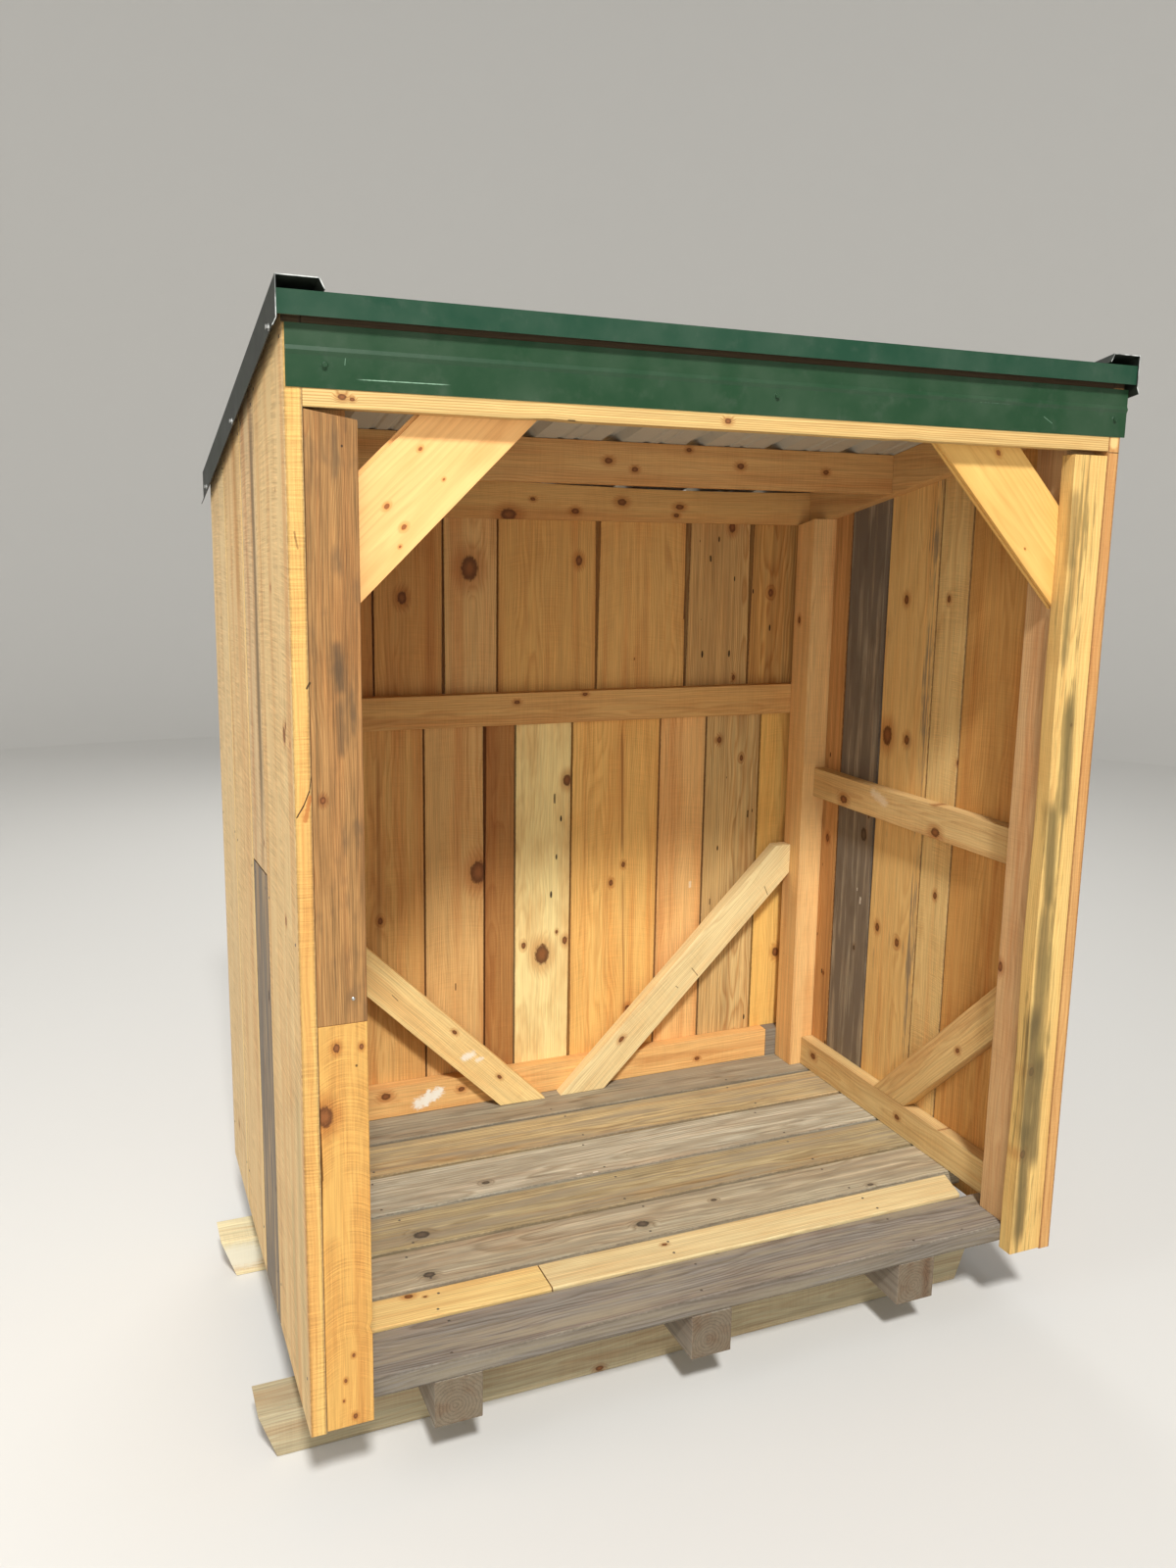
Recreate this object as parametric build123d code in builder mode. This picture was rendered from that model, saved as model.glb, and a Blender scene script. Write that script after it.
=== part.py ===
from build123d import *
import os
from math import atan, cos, radians, sin, sqrt

# Log store: an open-fronted timber shelter on two skids, boarded on three sides, under a
# single-pitch ribbed steel roof that falls to the back.
# Sizes are in millimetres. X runs along the open front, Y to the back, Z up.
# Heights are first given from the top of the deck, depths from the face of the front boards
# and widths from the outside of the left wall; the origin is set below them.

# Overall
store_width = 1750
store_depth = 1157
header_height = 1790
header_depth = 127
wall_drop = 60
face_drop = 56

# Timber sections
siding_thickness = 30
siding_gap = 3
framing_thickness = 38
framing_depth = 89
face_width = 89
girt_depth = 89
post_width = 76
rear_post_depth = 89
brace_width = 97

# Base
skid_height = 100
skid_width = 100
skid_reach = 72
skid_length = 1752
skid_end_slope = 35
front_skid_place = 197
rear_skid_place = 861
joist_width = 100
joist_height = 100
joist_places = [246, 809, 1344]
deck_thickness = 40
deck_gap = 7
deck_lines = [184, 287, 442, 601, 783, 951]
light_board_joint = 549
light_board_space = 2
short_board_loss = 47
short_board_slant = 28
deck_edge_ease = 3

# Walls
back_girt_height = 1087
top_girt_depth = 95
side_girt_height = 847
side_board_lines_right = [120, 410, 530, 743, 920]
side_board_lines_left = [360, 560, 860]
split_board_height = 908
split_board_slant = 14
back_board_lines_upper = [205, 392, 581, 733, 1026, 1306, 1514]
back_board_lines_lower = [176, 340, 525, 697, 786, 956, 1232, 1383, 1567]
narrowest_board = 40
face_joint_height = 740
left_face_top_gap = 2
left_face_top_slant = 14
right_face_top_gap = 9
plate_block_length = 36

# Braces
back_brace_clip = 690
back_brace_space = 47
back_brace_centre = 881
side_brace_foot = 625
corner_brace_foot = 1455
corner_brace_width = 148
corner_brace_thickness = 22
corner_brace_lap = 60
tongue_thickness = 7
tongue_length = 6
groove_clearance = 1

# Roof
roof_slope = 0.2
batten_height = 42
purlin_place = 697
purlin_depth = 102
rafter_depth = 101
roof_front_setback = 30
roof_rear_reach = 45
sheet_thickness = 1.5
rib_count = 8
rib_height = 17
rib_base_half = 27
rib_top_half = 12
minor_rib_spread = 20
minor_rib_half = 9
minor_rib_top_half = 4
minor_rib_height = 3
siding_top_gap = 3

# Steel trims
trim_thickness = 1.5
eave_face_height = 38
eave_face_reach = 20
fascia_height = 98
fascia_foot = 30
fascia_left_inset = 4
fascia_end_clearance = 0.5
fascia_bead_height = 57
fascia_bead_half = 7
fascia_bead_rise = 3
rake_reach = 12
rake_leg = 77
rake_kick = 6
rake_kick_height = 12
rake_flange = 70
rake_lip_space = 1.5
rake_lip_run = 8
rake_end_reach = 3

# The origin is under the middle of the store's box, at ground level.
deck_top = skid_height + joist_height + deck_thickness
left = (skid_reach - store_width - rake_reach - rake_kick) / 2
front = (eave_face_reach + rake_end_reach - store_depth - roof_rear_reach - rake_end_reach) / 2

# Places that several pieces share
right = left + store_width
back = front + store_depth
left_inside = left + siding_thickness
right_inside = right - siding_thickness
left_plate_face = left_inside + framing_thickness
right_plate_face = right_inside - framing_thickness
left_post_face = left_inside + post_width
right_post_face = right_inside - post_width
frame_front = front + framing_thickness
front_post_back = frame_front + framing_depth
boards_front = back - siding_thickness
back_frame_face = boards_front - framing_thickness
rear_post_front = back_frame_face - rear_post_depth
header_foot = deck_top + header_height
header_top = header_foot + header_depth
joist_top = skid_height + joist_height
slope_angle = atan(roof_slope)

os.makedirs("parts", exist_ok=True)


def save(piece, name):
    piece.part.label = name
    export_step(piece.part, f"parts/{name}.step")


def pans_under(y):
    """Height of the underside of the roof's flat pans at depth y."""
    return header_top + batten_height + trim_thickness - roof_slope * (y - front)


def stick(x_span, y_span, z_span):
    """A square-cut length of timber between its limits along X, Y and Z."""
    with BuildPart() as piece:
        with BuildSketch(Plane((x_span[0], y_span[0], z_span[0]))):
            Rectangle(x_span[1] - x_span[0], y_span[1] - y_span[0], align=Align.MIN)
        extrude(amount=z_span[1] - z_span[0])
    return piece


def side_panel(x_span, outline):
    """A piece with the given outline seen from the side, as (y, z) points."""
    with BuildPart() as piece:
        with BuildSketch(Plane.YZ.offset(x_span[0])):
            with BuildLine():
                Polyline(*outline, close=True)
            make_face()
        extrude(amount=x_span[1] - x_span[0])
    return piece


def front_panel(y_span, outline):
    """A piece with the given outline seen from the front, as (x, z) points."""
    with BuildPart() as piece:
        with BuildSketch(Plane.XZ.offset(-y_span[1])):
            with BuildLine():
                Polyline(*outline, close=True)
            make_face()
        extrude(amount=y_span[1] - y_span[0])
    return piece


def together(pieces):
    """Like boards of one wall as separate solids of one piece."""
    with BuildPart() as group:
        for piece in pieces:
            add(piece.part)
    return group


def bays(start, end, lines, gap):
    """Spans of boards that meet at the given lines, as far as they fit, with a gap between them."""
    lines = [line for line in lines if start + narrowest_board < line < end - narrowest_board]
    edges = [start, *lines, end]
    spans = []
    for index in range(len(edges) - 1):
        low = edges[index] + (gap / 2 if index else 0)
        high = edges[index + 1] - (gap / 2 if index < len(lines) else 0)
        spans.append((low, high))
    return spans


# Skids: two square runners with ends cut back underneath
for name, place in [("front_skid", front_skid_place), ("rear_skid", rear_skid_place)]:
    skid_left = left - skid_reach
    skid_right = skid_left + skid_length
    outline = [
        (skid_left, skid_height),
        (skid_right, skid_height),
        (skid_right - skid_end_slope, 0),
        (skid_left + skid_end_slope, 0),
    ]
    skid_front = front + place
    save(front_panel((skid_front, skid_front + skid_width), outline), name)

# Joists: three heavy bearers across the skids
for name, place in zip(["joist_left", "joist_middle", "joist_right"], joist_places):
    joist_left = left + place
    joist = stick(
        (joist_left, joist_left + joist_width),
        (frame_front, back - siding_thickness),
        (skid_height, joist_top),
    )
    save(joist, name)


# Deck boards, eased along their long top edges
def deck_board(x_span, y_span, slant=0):
    """One board; slant is how much longer its rear edge is than its front edge."""
    with BuildPart() as board:
        with BuildSketch(Plane.XY.offset(joist_top)):
            with BuildLine():
                Polyline(
                    (x_span[0], y_span[0]),
                    (x_span[1], y_span[0]),
                    (x_span[1] + slant, y_span[1]),
                    (x_span[0], y_span[1]),
                    close=True,
                )
            make_face()
        extrude(amount=deck_thickness)
        long_edges = board.faces().sort_by(Axis.Z)[-1].edges().filter_by(Axis.X)
        chamfer(long_edges, deck_edge_ease)
    return board


deck_span = (left_inside, right_inside)
deck_rows = bays(frame_front, boards_front, [front + line for line in deck_lines], deck_gap)
joint_x = left + light_board_joint
short_span = (joint_x + light_board_space, right_plate_face - short_board_loss)
save(deck_board(deck_span, deck_rows[0]), "deck_front_board")
save(deck_board((left_inside, joint_x), deck_rows[1]), "deck_light_board_left")
save(deck_board(short_span, deck_rows[1], short_board_slant), "deck_light_board_right")
save(together([deck_board(deck_span, row) for row in deck_rows[2:]]), "deck_boards")


# Posts: a doubled stud at each corner, cut to the rafter above it
def post(x_span, y_span):
    outline = [
        (y_span[0], deck_top),
        (y_span[1], deck_top),
        (y_span[1], pans_under(y_span[1]) - rafter_depth),
        (y_span[0], pans_under(y_span[0]) - rafter_depth),
    ]
    return side_panel(x_span, outline)


left_post_span = (left_inside, left_post_face)
right_post_span = (right_post_face, right_inside)
front_post_span = (frame_front, front_post_back)
rear_post_span = (rear_post_front, back_frame_face)
save(post(left_post_span, front_post_span), "front_left_post")
save(post(right_post_span, front_post_span), "front_right_post")
save(post(left_post_span, rear_post_span), "rear_left_post")
save(post(right_post_span, rear_post_span), "rear_right_post")

# Side walls: bottom plate, mid girt and sloping rafter in line with the siding
side_walls = {
    "left": (left_inside, left_plate_face),
    "right": (right_plate_face, right_inside),
}
plate_span_y = (front_post_back, rear_post_front)
plate_top = deck_top + framing_depth
side_girt_foot = deck_top + side_girt_height
brace_foot_y = front + side_brace_foot
brace_run = brace_width * sqrt(2)
for side, x_span in side_walls.items():
    save(stick(x_span, plate_span_y, (deck_top, plate_top)), f"{side}_bottom_plate")
    girt_span_z = (side_girt_foot, side_girt_foot + framing_depth)
    save(stick(x_span, plate_span_y, girt_span_z), f"{side}_mid_girt")
    rafter_outline = [
        (frame_front, pans_under(frame_front) - rafter_depth),
        (back_frame_face, pans_under(back_frame_face) - rafter_depth),
        (back_frame_face, pans_under(back_frame_face)),
        (frame_front, pans_under(frame_front)),
    ]
    save(side_panel(x_span, rafter_outline), f"{side}_rafter")
    # The brace stands on the bottom plate and leans on the front post.
    brace_outline = [
        (brace_foot_y, plate_top),
        (front_post_back, plate_top + brace_foot_y - front_post_back),
        (front_post_back, plate_top + brace_foot_y - front_post_back - brace_run),
        (brace_foot_y - brace_run, plate_top),
    ]
    save(side_panel(x_span, brace_outline), f"{side}_wall_brace")

# Back wall frame: bottom plate with its end block, mid girt and top girt
back_frame_span_y = (back_frame_face, boards_front)
block_left = right_post_face - plate_block_length
save(stick((left_inside, block_left), back_frame_span_y, (deck_top, plate_top)), "back_bottom_plate")
save(stick((block_left, right_inside), back_frame_span_y, (deck_top, plate_top)), "back_plate_block")
back_girt_foot = deck_top + back_girt_height
save(
    stick((left_inside, right_inside), back_frame_span_y, (back_girt_foot, back_girt_foot + girt_depth)),
    "back_mid_girt",
)
top_girt_foot = pans_under(boards_front) - top_girt_depth
top_girt_outline = [
    (back_frame_face, top_girt_foot),
    (boards_front, top_girt_foot),
    (boards_front, pans_under(boards_front)),
    (back_frame_face, pans_under(back_frame_face)),
]
save(side_panel((left_inside, right_inside), top_girt_outline), "back_top_girt")

# Back braces: two timbers that fall to the middle of the deck, in front of the bottom plate
brace_span_y = (back_frame_face - framing_thickness, back_frame_face)
middle = left + back_brace_centre
clip_z = deck_top + back_brace_clip
for name, toward, wall_x in [
    ("back_brace_left", -1, left_post_face),
    ("back_brace_right", 1, right_post_face),
]:
    inner_foot = middle + toward * back_brace_space / 2
    outer_foot = inner_foot + toward * brace_run
    reach = abs(wall_x - inner_foot)
    outline = [
        (inner_foot, deck_top),
        (outer_foot, deck_top),
        (wall_x, deck_top + reach - brace_run),
        (wall_x, clip_z),
        (inner_foot + toward * back_brace_clip, clip_z),
    ]
    save(front_panel(brace_span_y, outline), name)

# Purlin between the rafters, the header beam across the front and the batten on it
purlin_front = front + purlin_place
purlin_back = purlin_front + framing_thickness
purlin_foot = pans_under(purlin_front) - purlin_depth
purlin_outline = [
    (purlin_front, purlin_foot),
    (purlin_back, purlin_foot),
    (purlin_back, pans_under(purlin_back)),
    (purlin_front, pans_under(purlin_front)),
]
save(side_panel((left_plate_face, right_plate_face), purlin_outline), "purlin")

save(stick((left_inside, right_inside), (front, frame_front), (header_foot, header_top)), "header_beam")
batten_outline = [
    (front, header_top),
    (frame_front, header_top),
    (frame_front, pans_under(frame_front) - trim_thickness),
    (front, pans_under(front) - trim_thickness),
]
save(side_panel((left_inside, right_inside), batten_outline), "front_batten")

# Face boards on the front posts: the left one in two lengths
face_span_y = (front, frame_front)
face_low = deck_top - face_drop
left_face_outer_top = header_foot - left_face_top_gap
left_face_inner_top = left_face_outer_top - left_face_top_slant
right_face_top = header_foot - right_face_top_gap
face_joint = deck_top + face_joint_height
left_face_inner = left_inside + face_width
right_face_inner = right_inside - face_width
lower_left = [
    (left_inside, face_low),
    (left_face_inner, face_low),
    (left_face_inner, face_joint),
    (left_inside, face_joint),
]
upper_left = [
    (left_inside, face_joint),
    (left_face_inner, face_joint),
    (left_face_inner, left_face_inner_top),
    (left_inside, left_face_outer_top),
]
save(front_panel(face_span_y, lower_left), "face_board_left_lower")
save(front_panel(face_span_y, upper_left), "face_board_left_upper")
save(stick((right_face_inner, right_inside), face_span_y, (face_low, right_face_top)), "face_board_right")


# Corner braces: tongue-and-groove board at 45 degrees behind the header and the face boards
def corner_brace(post_face, toward):
    """The board leans away from post_face in the X direction given by toward, 1 or -1."""
    half = corner_brace_width / 2
    mid = corner_brace_thickness / 2
    tongue = tongue_thickness / 2
    slot = tongue + groove_clearance / 2
    slot_depth = tongue_length + groove_clearance
    section = [
        (-half, -mid),
        (half, -mid),
        (half, -tongue),
        (half + tongue_length, -tongue),
        (half + tongue_length, tongue),
        (half, tongue),
        (half, mid),
        (-half, mid),
        (-half, slot),
        (-half + slot_depth, slot),
        (-half + slot_depth, -slot),
        (-half, -slot),
    ]
    run = (toward * cos(radians(45)), 0, sin(radians(45)))
    across = (-toward * sin(radians(45)), 0, cos(radians(45)))
    centre_z = deck_top + corner_brace_foot + half * sqrt(2)
    start = Vector(post_face, frame_front + mid, centre_z) - Vector(*run) * corner_brace_width
    head = header_foot + corner_brace_lap
    reach = head - deck_top - corner_brace_foot
    room_low = min(post_face, post_face + toward * reach)
    with BuildPart() as brace:
        with BuildSketch(Plane(start, x_dir=across, z_dir=run)):
            with BuildLine():
                Polyline(*section, close=True)
            make_face()
        extrude(amount=reach * sqrt(2) + 2 * corner_brace_width)
        with BuildSketch(Plane((room_low, frame_front, 0))):
            Rectangle(reach, corner_brace_thickness, align=Align.MIN)
        extrude(amount=head, mode=Mode.INTERSECT)
    return brace


save(corner_brace(left_post_face, 1), "corner_brace_left")
save(corner_brace(right_post_face, -1), "corner_brace_right")


# Siding: upright rough boards, the side walls cut to the roof's slope
def side_board(x_span, y_span):
    outline = [
        (y_span[0], deck_top - wall_drop),
        (y_span[1], deck_top - wall_drop),
        (y_span[1], pans_under(y_span[1]) - siding_top_gap),
        (y_span[0], pans_under(y_span[0]) - siding_top_gap),
    ]
    return side_panel(x_span, outline)


def split_side_board(x_span, y_span):
    """The same board in two lengths that meet at a slanting cut."""
    joint_front = deck_top + split_board_height + split_board_slant
    joint_back = deck_top + split_board_height
    lower = [
        (y_span[0], deck_top - wall_drop),
        (y_span[1], deck_top - wall_drop),
        (y_span[1], joint_back),
        (y_span[0], joint_front),
    ]
    upper = [
        (y_span[0], joint_front + siding_gap),
        (y_span[1], joint_back + siding_gap),
        (y_span[1], pans_under(y_span[1]) - siding_top_gap),
        (y_span[0], pans_under(y_span[0]) - siding_top_gap),
    ]
    return [side_panel(x_span, lower), side_panel(x_span, upper)]


left_rows = bays(front, back, [front + line for line in side_board_lines_left], siding_gap)
left_siding = (left, left_inside)
left_boards = [side_board(left_siding, row) for row in left_rows]
left_boards[1:2] = split_side_board(left_siding, left_rows[1])
save(together(left_boards), "left_wall_boards")

right_rows = bays(front, back, [front + line for line in side_board_lines_right], siding_gap)
right_siding = (right_inside, right)
save(together([side_board(right_siding, row) for row in right_rows]), "right_wall_boards")

boards_span_y = (boards_front, back)
board_split = back_girt_foot + girt_depth / 2
back_top = pans_under(back) - siding_top_gap
upper_rows = bays(left_inside, right_inside, [left + line for line in back_board_lines_upper], siding_gap)
lower_rows = bays(left_inside, right_inside, [left + line for line in back_board_lines_lower], siding_gap)
upper_heights = (board_split + siding_gap, back_top)
lower_heights = (deck_top - wall_drop, board_split)
save(together([stick(row, boards_span_y, upper_heights) for row in upper_rows]), "back_boards_upper")
save(together([stick(row, boards_span_y, lower_heights) for row in lower_rows]), "back_boards_lower")


# Roof sheet: nine major ribs, two minor ribs in each pan, the outer ribs cut at their crests
def sheet_underside():
    """The underside across the roof, as (x, height over the pans) points."""
    sheet_left = left - rake_reach + trim_thickness
    sheet_right = right + rake_reach - trim_thickness
    pitch = (sheet_right - sheet_left) / rib_count
    points = [(sheet_left, rib_height), (sheet_left + rib_top_half, rib_height)]
    points.append((sheet_left + rib_base_half, 0))
    for index in range(rib_count):
        rib_left = sheet_left + index * pitch
        for offset in (-minor_rib_spread, minor_rib_spread):
            centre = rib_left + pitch / 2 + offset
            points.append((centre - minor_rib_half, 0))
            points.append((centre - minor_rib_top_half, minor_rib_height))
            points.append((centre + minor_rib_top_half, minor_rib_height))
            points.append((centre + minor_rib_half, 0))
        centre = rib_left + pitch
        points.append((centre - rib_base_half, 0))
        points.append((centre - rib_top_half, rib_height))
        if index < rib_count - 1:
            points.append((centre + rib_top_half, rib_height))
            points.append((centre + rib_base_half, 0))
    points.append((sheet_right, rib_height))
    return points


def along_slope(y_span, outline):
    """A folded length that runs down the roof; heights in outline are over the pans' underside."""
    pans = pans_under(y_span[0])
    with BuildPart() as piece:
        with BuildSketch(Plane.XZ.offset(-y_span[0])):
            with BuildLine():
                Polyline(*[(x, pans + height) for x, height in outline], close=True)
            make_face()
        fall = (0, cos(slope_angle), -sin(slope_angle))
        extrude(amount=(y_span[1] - y_span[0]) / cos(slope_angle), dir=fall)
    return piece


underside = sheet_underside()
top_side = [(x, height + sheet_thickness) for x, height in reversed(underside)]
crest = rib_height + sheet_thickness
sheet_span_y = (front + roof_front_setback, back + roof_rear_reach)
save(along_slope(sheet_span_y, underside + top_side), "roof_sheet")

# Eave trim: a flange that lies on the batten and a short face in front of it
eave_front = front - eave_face_reach
eave_foot = pans_under(eave_front) - eave_face_height
eave_outline = [
    (eave_front, eave_foot),
    (eave_front + trim_thickness, eave_foot),
    (eave_front + trim_thickness, pans_under(eave_front + trim_thickness) - trim_thickness),
    (frame_front, pans_under(frame_front) - trim_thickness),
    (frame_front, pans_under(frame_front)),
    (eave_front, pans_under(eave_front)),
]
eave_span = (left - rake_reach + trim_thickness, right + rake_reach - trim_thickness)
save(side_panel(eave_span, eave_outline), "eave_trim")

# Fascia trim: a flat face with one bead, screwed to the header beam
fascia_low = header_foot + fascia_foot
fascia_top = fascia_low + fascia_height
bead = fascia_low + fascia_bead_height
fascia_face = front - trim_thickness
fascia_outline = [
    (front, fascia_low),
    (front, fascia_top),
    (fascia_face, fascia_top),
    (fascia_face, bead + fascia_bead_half),
    (fascia_face - fascia_bead_rise, bead),
    (fascia_face, bead - fascia_bead_half),
    (fascia_face, fascia_low),
]
fascia_span = (left + fascia_left_inset, right + rake_reach - trim_thickness - fascia_end_clearance)
save(side_panel(fascia_span, fascia_outline), "fascia_trim")


# Rake trims: a folded cover over each sloping edge, with a leg, a flange and a lip
def rake_outline(edge_x, inward):
    """edge_x is the leg's outer face; inward is 1 on the left edge and -1 on the right."""
    lip_foot = sheet_thickness + rake_lip_space
    flange_top = crest + trim_thickness
    leg_foot = flange_top - rake_leg
    inner_leg = edge_x + inward * trim_thickness
    flange_end = edge_x + inward * rake_flange
    lip_end = flange_end + inward * rake_lip_run
    return [
        (edge_x, flange_top),
        (flange_end, flange_top),
        (lip_end, lip_foot),
        (lip_end - inward * trim_thickness, lip_foot),
        (flange_end - inward * trim_thickness, crest),
        (inner_leg, crest),
        (inner_leg, leg_foot + rake_kick_height),
        (edge_x - inward * (rake_kick - trim_thickness), leg_foot),
        (edge_x - inward * rake_kick, leg_foot),
        (edge_x, leg_foot + rake_kick_height),
    ]


rake_span_y = (eave_front - rake_end_reach, back + roof_rear_reach + rake_end_reach)
save(along_slope(rake_span_y, rake_outline(left - rake_reach, 1)), "rake_trim_left")
save(along_slope(rake_span_y, rake_outline(right + rake_reach, -1)), "rake_trim_right")
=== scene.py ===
import math
import random
import bmesh
import bpy
from mathutils import Matrix, Vector, noise


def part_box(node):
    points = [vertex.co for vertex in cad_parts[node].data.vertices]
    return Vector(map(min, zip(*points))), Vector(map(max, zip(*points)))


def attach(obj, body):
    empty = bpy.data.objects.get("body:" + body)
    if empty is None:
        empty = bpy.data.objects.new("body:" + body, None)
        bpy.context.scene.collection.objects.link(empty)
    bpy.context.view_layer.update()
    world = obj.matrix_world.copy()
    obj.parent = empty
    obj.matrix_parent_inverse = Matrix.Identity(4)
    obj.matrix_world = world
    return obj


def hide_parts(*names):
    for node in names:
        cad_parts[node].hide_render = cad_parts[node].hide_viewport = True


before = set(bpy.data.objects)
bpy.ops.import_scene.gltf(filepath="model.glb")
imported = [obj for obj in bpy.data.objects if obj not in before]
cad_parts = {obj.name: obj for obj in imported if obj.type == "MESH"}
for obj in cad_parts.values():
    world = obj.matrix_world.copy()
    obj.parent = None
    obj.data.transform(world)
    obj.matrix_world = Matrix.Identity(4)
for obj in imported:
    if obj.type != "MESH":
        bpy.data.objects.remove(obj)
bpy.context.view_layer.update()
dice = random.Random(11)
mm = 0.001
print("frame loaded,", len(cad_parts), "nodes")


def addObject(name, data, place=None):
    shown = bpy.data.objects.new(name, data)
    if place:
        shown.matrix_world = place
    bpy.context.scene.collection.objects.link(shown)
    return shown


def meshOf(bm, name, materials):
    mesh = bpy.data.meshes.new(name)
    bm.to_mesh(mesh)
    bm.free()
    for material in materials:
        mesh.materials.append(material)
    return mesh


camera = {
    "place": (-1.1711, -2.6433, 1.8242),
    "right": (0.92361, -0.383021, 0.015505),
    "up": (0.052942, 0.167513, 0.984447),
    "focalPixels": 1252.2,  # in a picture 1200 wide and 1600 high
    "pictureHeight": 1600.0,
    "centreRise": 24.5,  # the optical centre sits this many pixels above the picture's middle
    "sensor": 36.0,
    "nearest": 0.05,
    "farthest": 60.0,
}


def setCamera():
    data = bpy.data.cameras.new("camera")
    data.sensor_fit = "VERTICAL"
    data.sensor_height = camera["sensor"]
    data.lens = camera["focalPixels"] * camera["sensor"] / camera["pictureHeight"]
    data.shift_y = -camera["centreRise"] / camera["pictureHeight"]
    data.clip_start = camera["nearest"]
    data.clip_end = camera["farthest"]
    right = Vector(camera["right"]).normalized()
    up = Vector(camera["up"])
    up = (up - right * up.dot(right)).normalized()
    turn = Matrix((right, up, right.cross(up))).transposed().to_4x4()
    bpy.context.scene.camera = addObject("camera", data, Matrix.Translation(camera["place"]) @ turn)


setCamera()
print("camera set")


def linear(hexColour):
    shares = [int(hexColour[i:i + 2], 16) / 255 for i in (1, 3, 5)]
    return tuple(s / 12.92 if s <= 0.04045 else ((s + 0.055) / 1.055) ** 2.4 for s in shares) + (1.0,)


def addNode(tree, kind, links=None, give=0, **settings):
    node = tree.nodes.new("ShaderNode" + kind)
    for name, value in settings.items():
        setattr(node, name, value)
    for socket, source in (links or {}).items():
        if isinstance(source, bpy.types.NodeSocket):
            tree.links.new(source, node.inputs[socket])
        else:
            node.inputs[socket].default_value = source
    return node if give is None or not node.outputs else node.outputs[give]


def emptyMaterial(name):
    material = bpy.data.materials.new(name)
    material.use_nodes = True
    material.node_tree.nodes.clear()
    return material


def layTones(tree, colour, layers):
    # Lays each tone over the colour by its share
    for share, tone, blend in layers:
        colour = addNode(tree, "Mix", {0: share, 6: colour, 7: linear(tone)}, give=2, data_type="RGBA",
                         blend_type=blend)
    return colour


markForm = {
    "long": 90,  # mm; a longer mark breaks into streaks, and a ragged one fades towards its ends
    "fadeRagged": 0.8,
    "fade": {1: 0.0, 2: 0.14},
    "stray": 3,  # half widths that a ragged edge strays
    "core": (0.5, 1.5),  # half widths to the full tone, and what raggedness adds
    "soft": (0.5, 1.0),  # half widths over which the edge fades, and what raggedness adds
}


def markShare(tree, place, mark, rough):
    # A crack, scratch or smear from one point to another in mm, ragged where rough breaks it up
    start, end, halfWidth, strength, ragged = mark
    reach = (Vector(end) - Vector(start)) * mm
    half = halfWidth * mm
    toPoint = addNode(tree, "VectorMath", {0: place, 1: Vector(start) * mm}, operation="SUBTRACT")
    along = addNode(tree, "VectorMath", {0: toPoint, 1: reach / max(reach.length_squared, 1e-9)}, give="Value",
                    operation="DOT_PRODUCT")
    along = addNode(tree, "Math", {0: along, 1: 1.0}, operation="MULTIPLY", use_clamp=True)
    nearest = addNode(tree, "VectorMath", {0: reach, "Scale": along}, operation="SCALE")
    away = addNode(tree, "VectorMath", {0: toPoint, 1: nearest}, give="Value", operation="DISTANCE")
    away = addNode(tree, "Math", {0: rough, 1: ragged * markForm["stray"] * half, 2: away}, operation="MULTIPLY_ADD")
    edge = (markForm["core"][0] + ragged * markForm["core"][1]) * half
    soft = (markForm["soft"][0] + ragged * markForm["soft"][1]) * half
    share = addNode(tree, "MapRange", {"Value": away, 1: edge + soft, 2: edge, 3: 0.0, 4: strength},
                    interpolation_type="SMOOTHSTEP")
    if ragged < markForm["fadeRagged"] or reach.length < markForm["long"] * mm:
        return share
    square = addNode(tree, "Math", {0: along, 1: along}, operation="MULTIPLY")
    inner = addNode(tree, "Math", {0: along, 1: square}, operation="SUBTRACT")
    inner = addNode(tree, "MapRange", {"Value": inner, **markForm["fade"]}, interpolation_type="SMOOTHSTEP")
    return addNode(tree, "Math", {0: share, 1: inner}, operation="MULTIPLY")


# Timber: every board carries boardSpot, its own place along, across and through it in metres from its
# middle, boardHeart, where the heart of its log lies, and boardSpan, half its sizes. Growth rings, fibres,
# saw marks and weather follow those, so no two boards match.
grainSize = {  # mm along and across the grain; the fibres are 0.1 mm in life and drawn at 2 mm to show
    "drift": (800, 190),
    "fibre": (120, 2.2),
    "streak": (520, 9),
    "stripe": (1300, 42),
    "patch": (210, 62),
    "weather": (340, 20),
    "mould": (330, 9),
    "smudge": (120, 45),
    "rough": (9, 4),
}
noiseMiddle = 0.5  # noise lies around this, and goes about as far to either side
grainShows = {  # the noise value at which each pattern starts to show, and at which it is full
    "fibre": {1: 0.3, 2: 0.7},
    "stripe": {1: 0.48, 2: 0.66},
    "patch": {1: 0.44, 2: 0.70},
    "smudge": {1: 0.50, 2: 0.68},
    "flecks": {1: 0.34, 2: 0.60, 3: 0.35},
    "sawWave": {1: 0.3, 2: 0.7, 3: -1.0},
    "sawHere": {1: 0.34, 2: 0.58},
}
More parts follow.
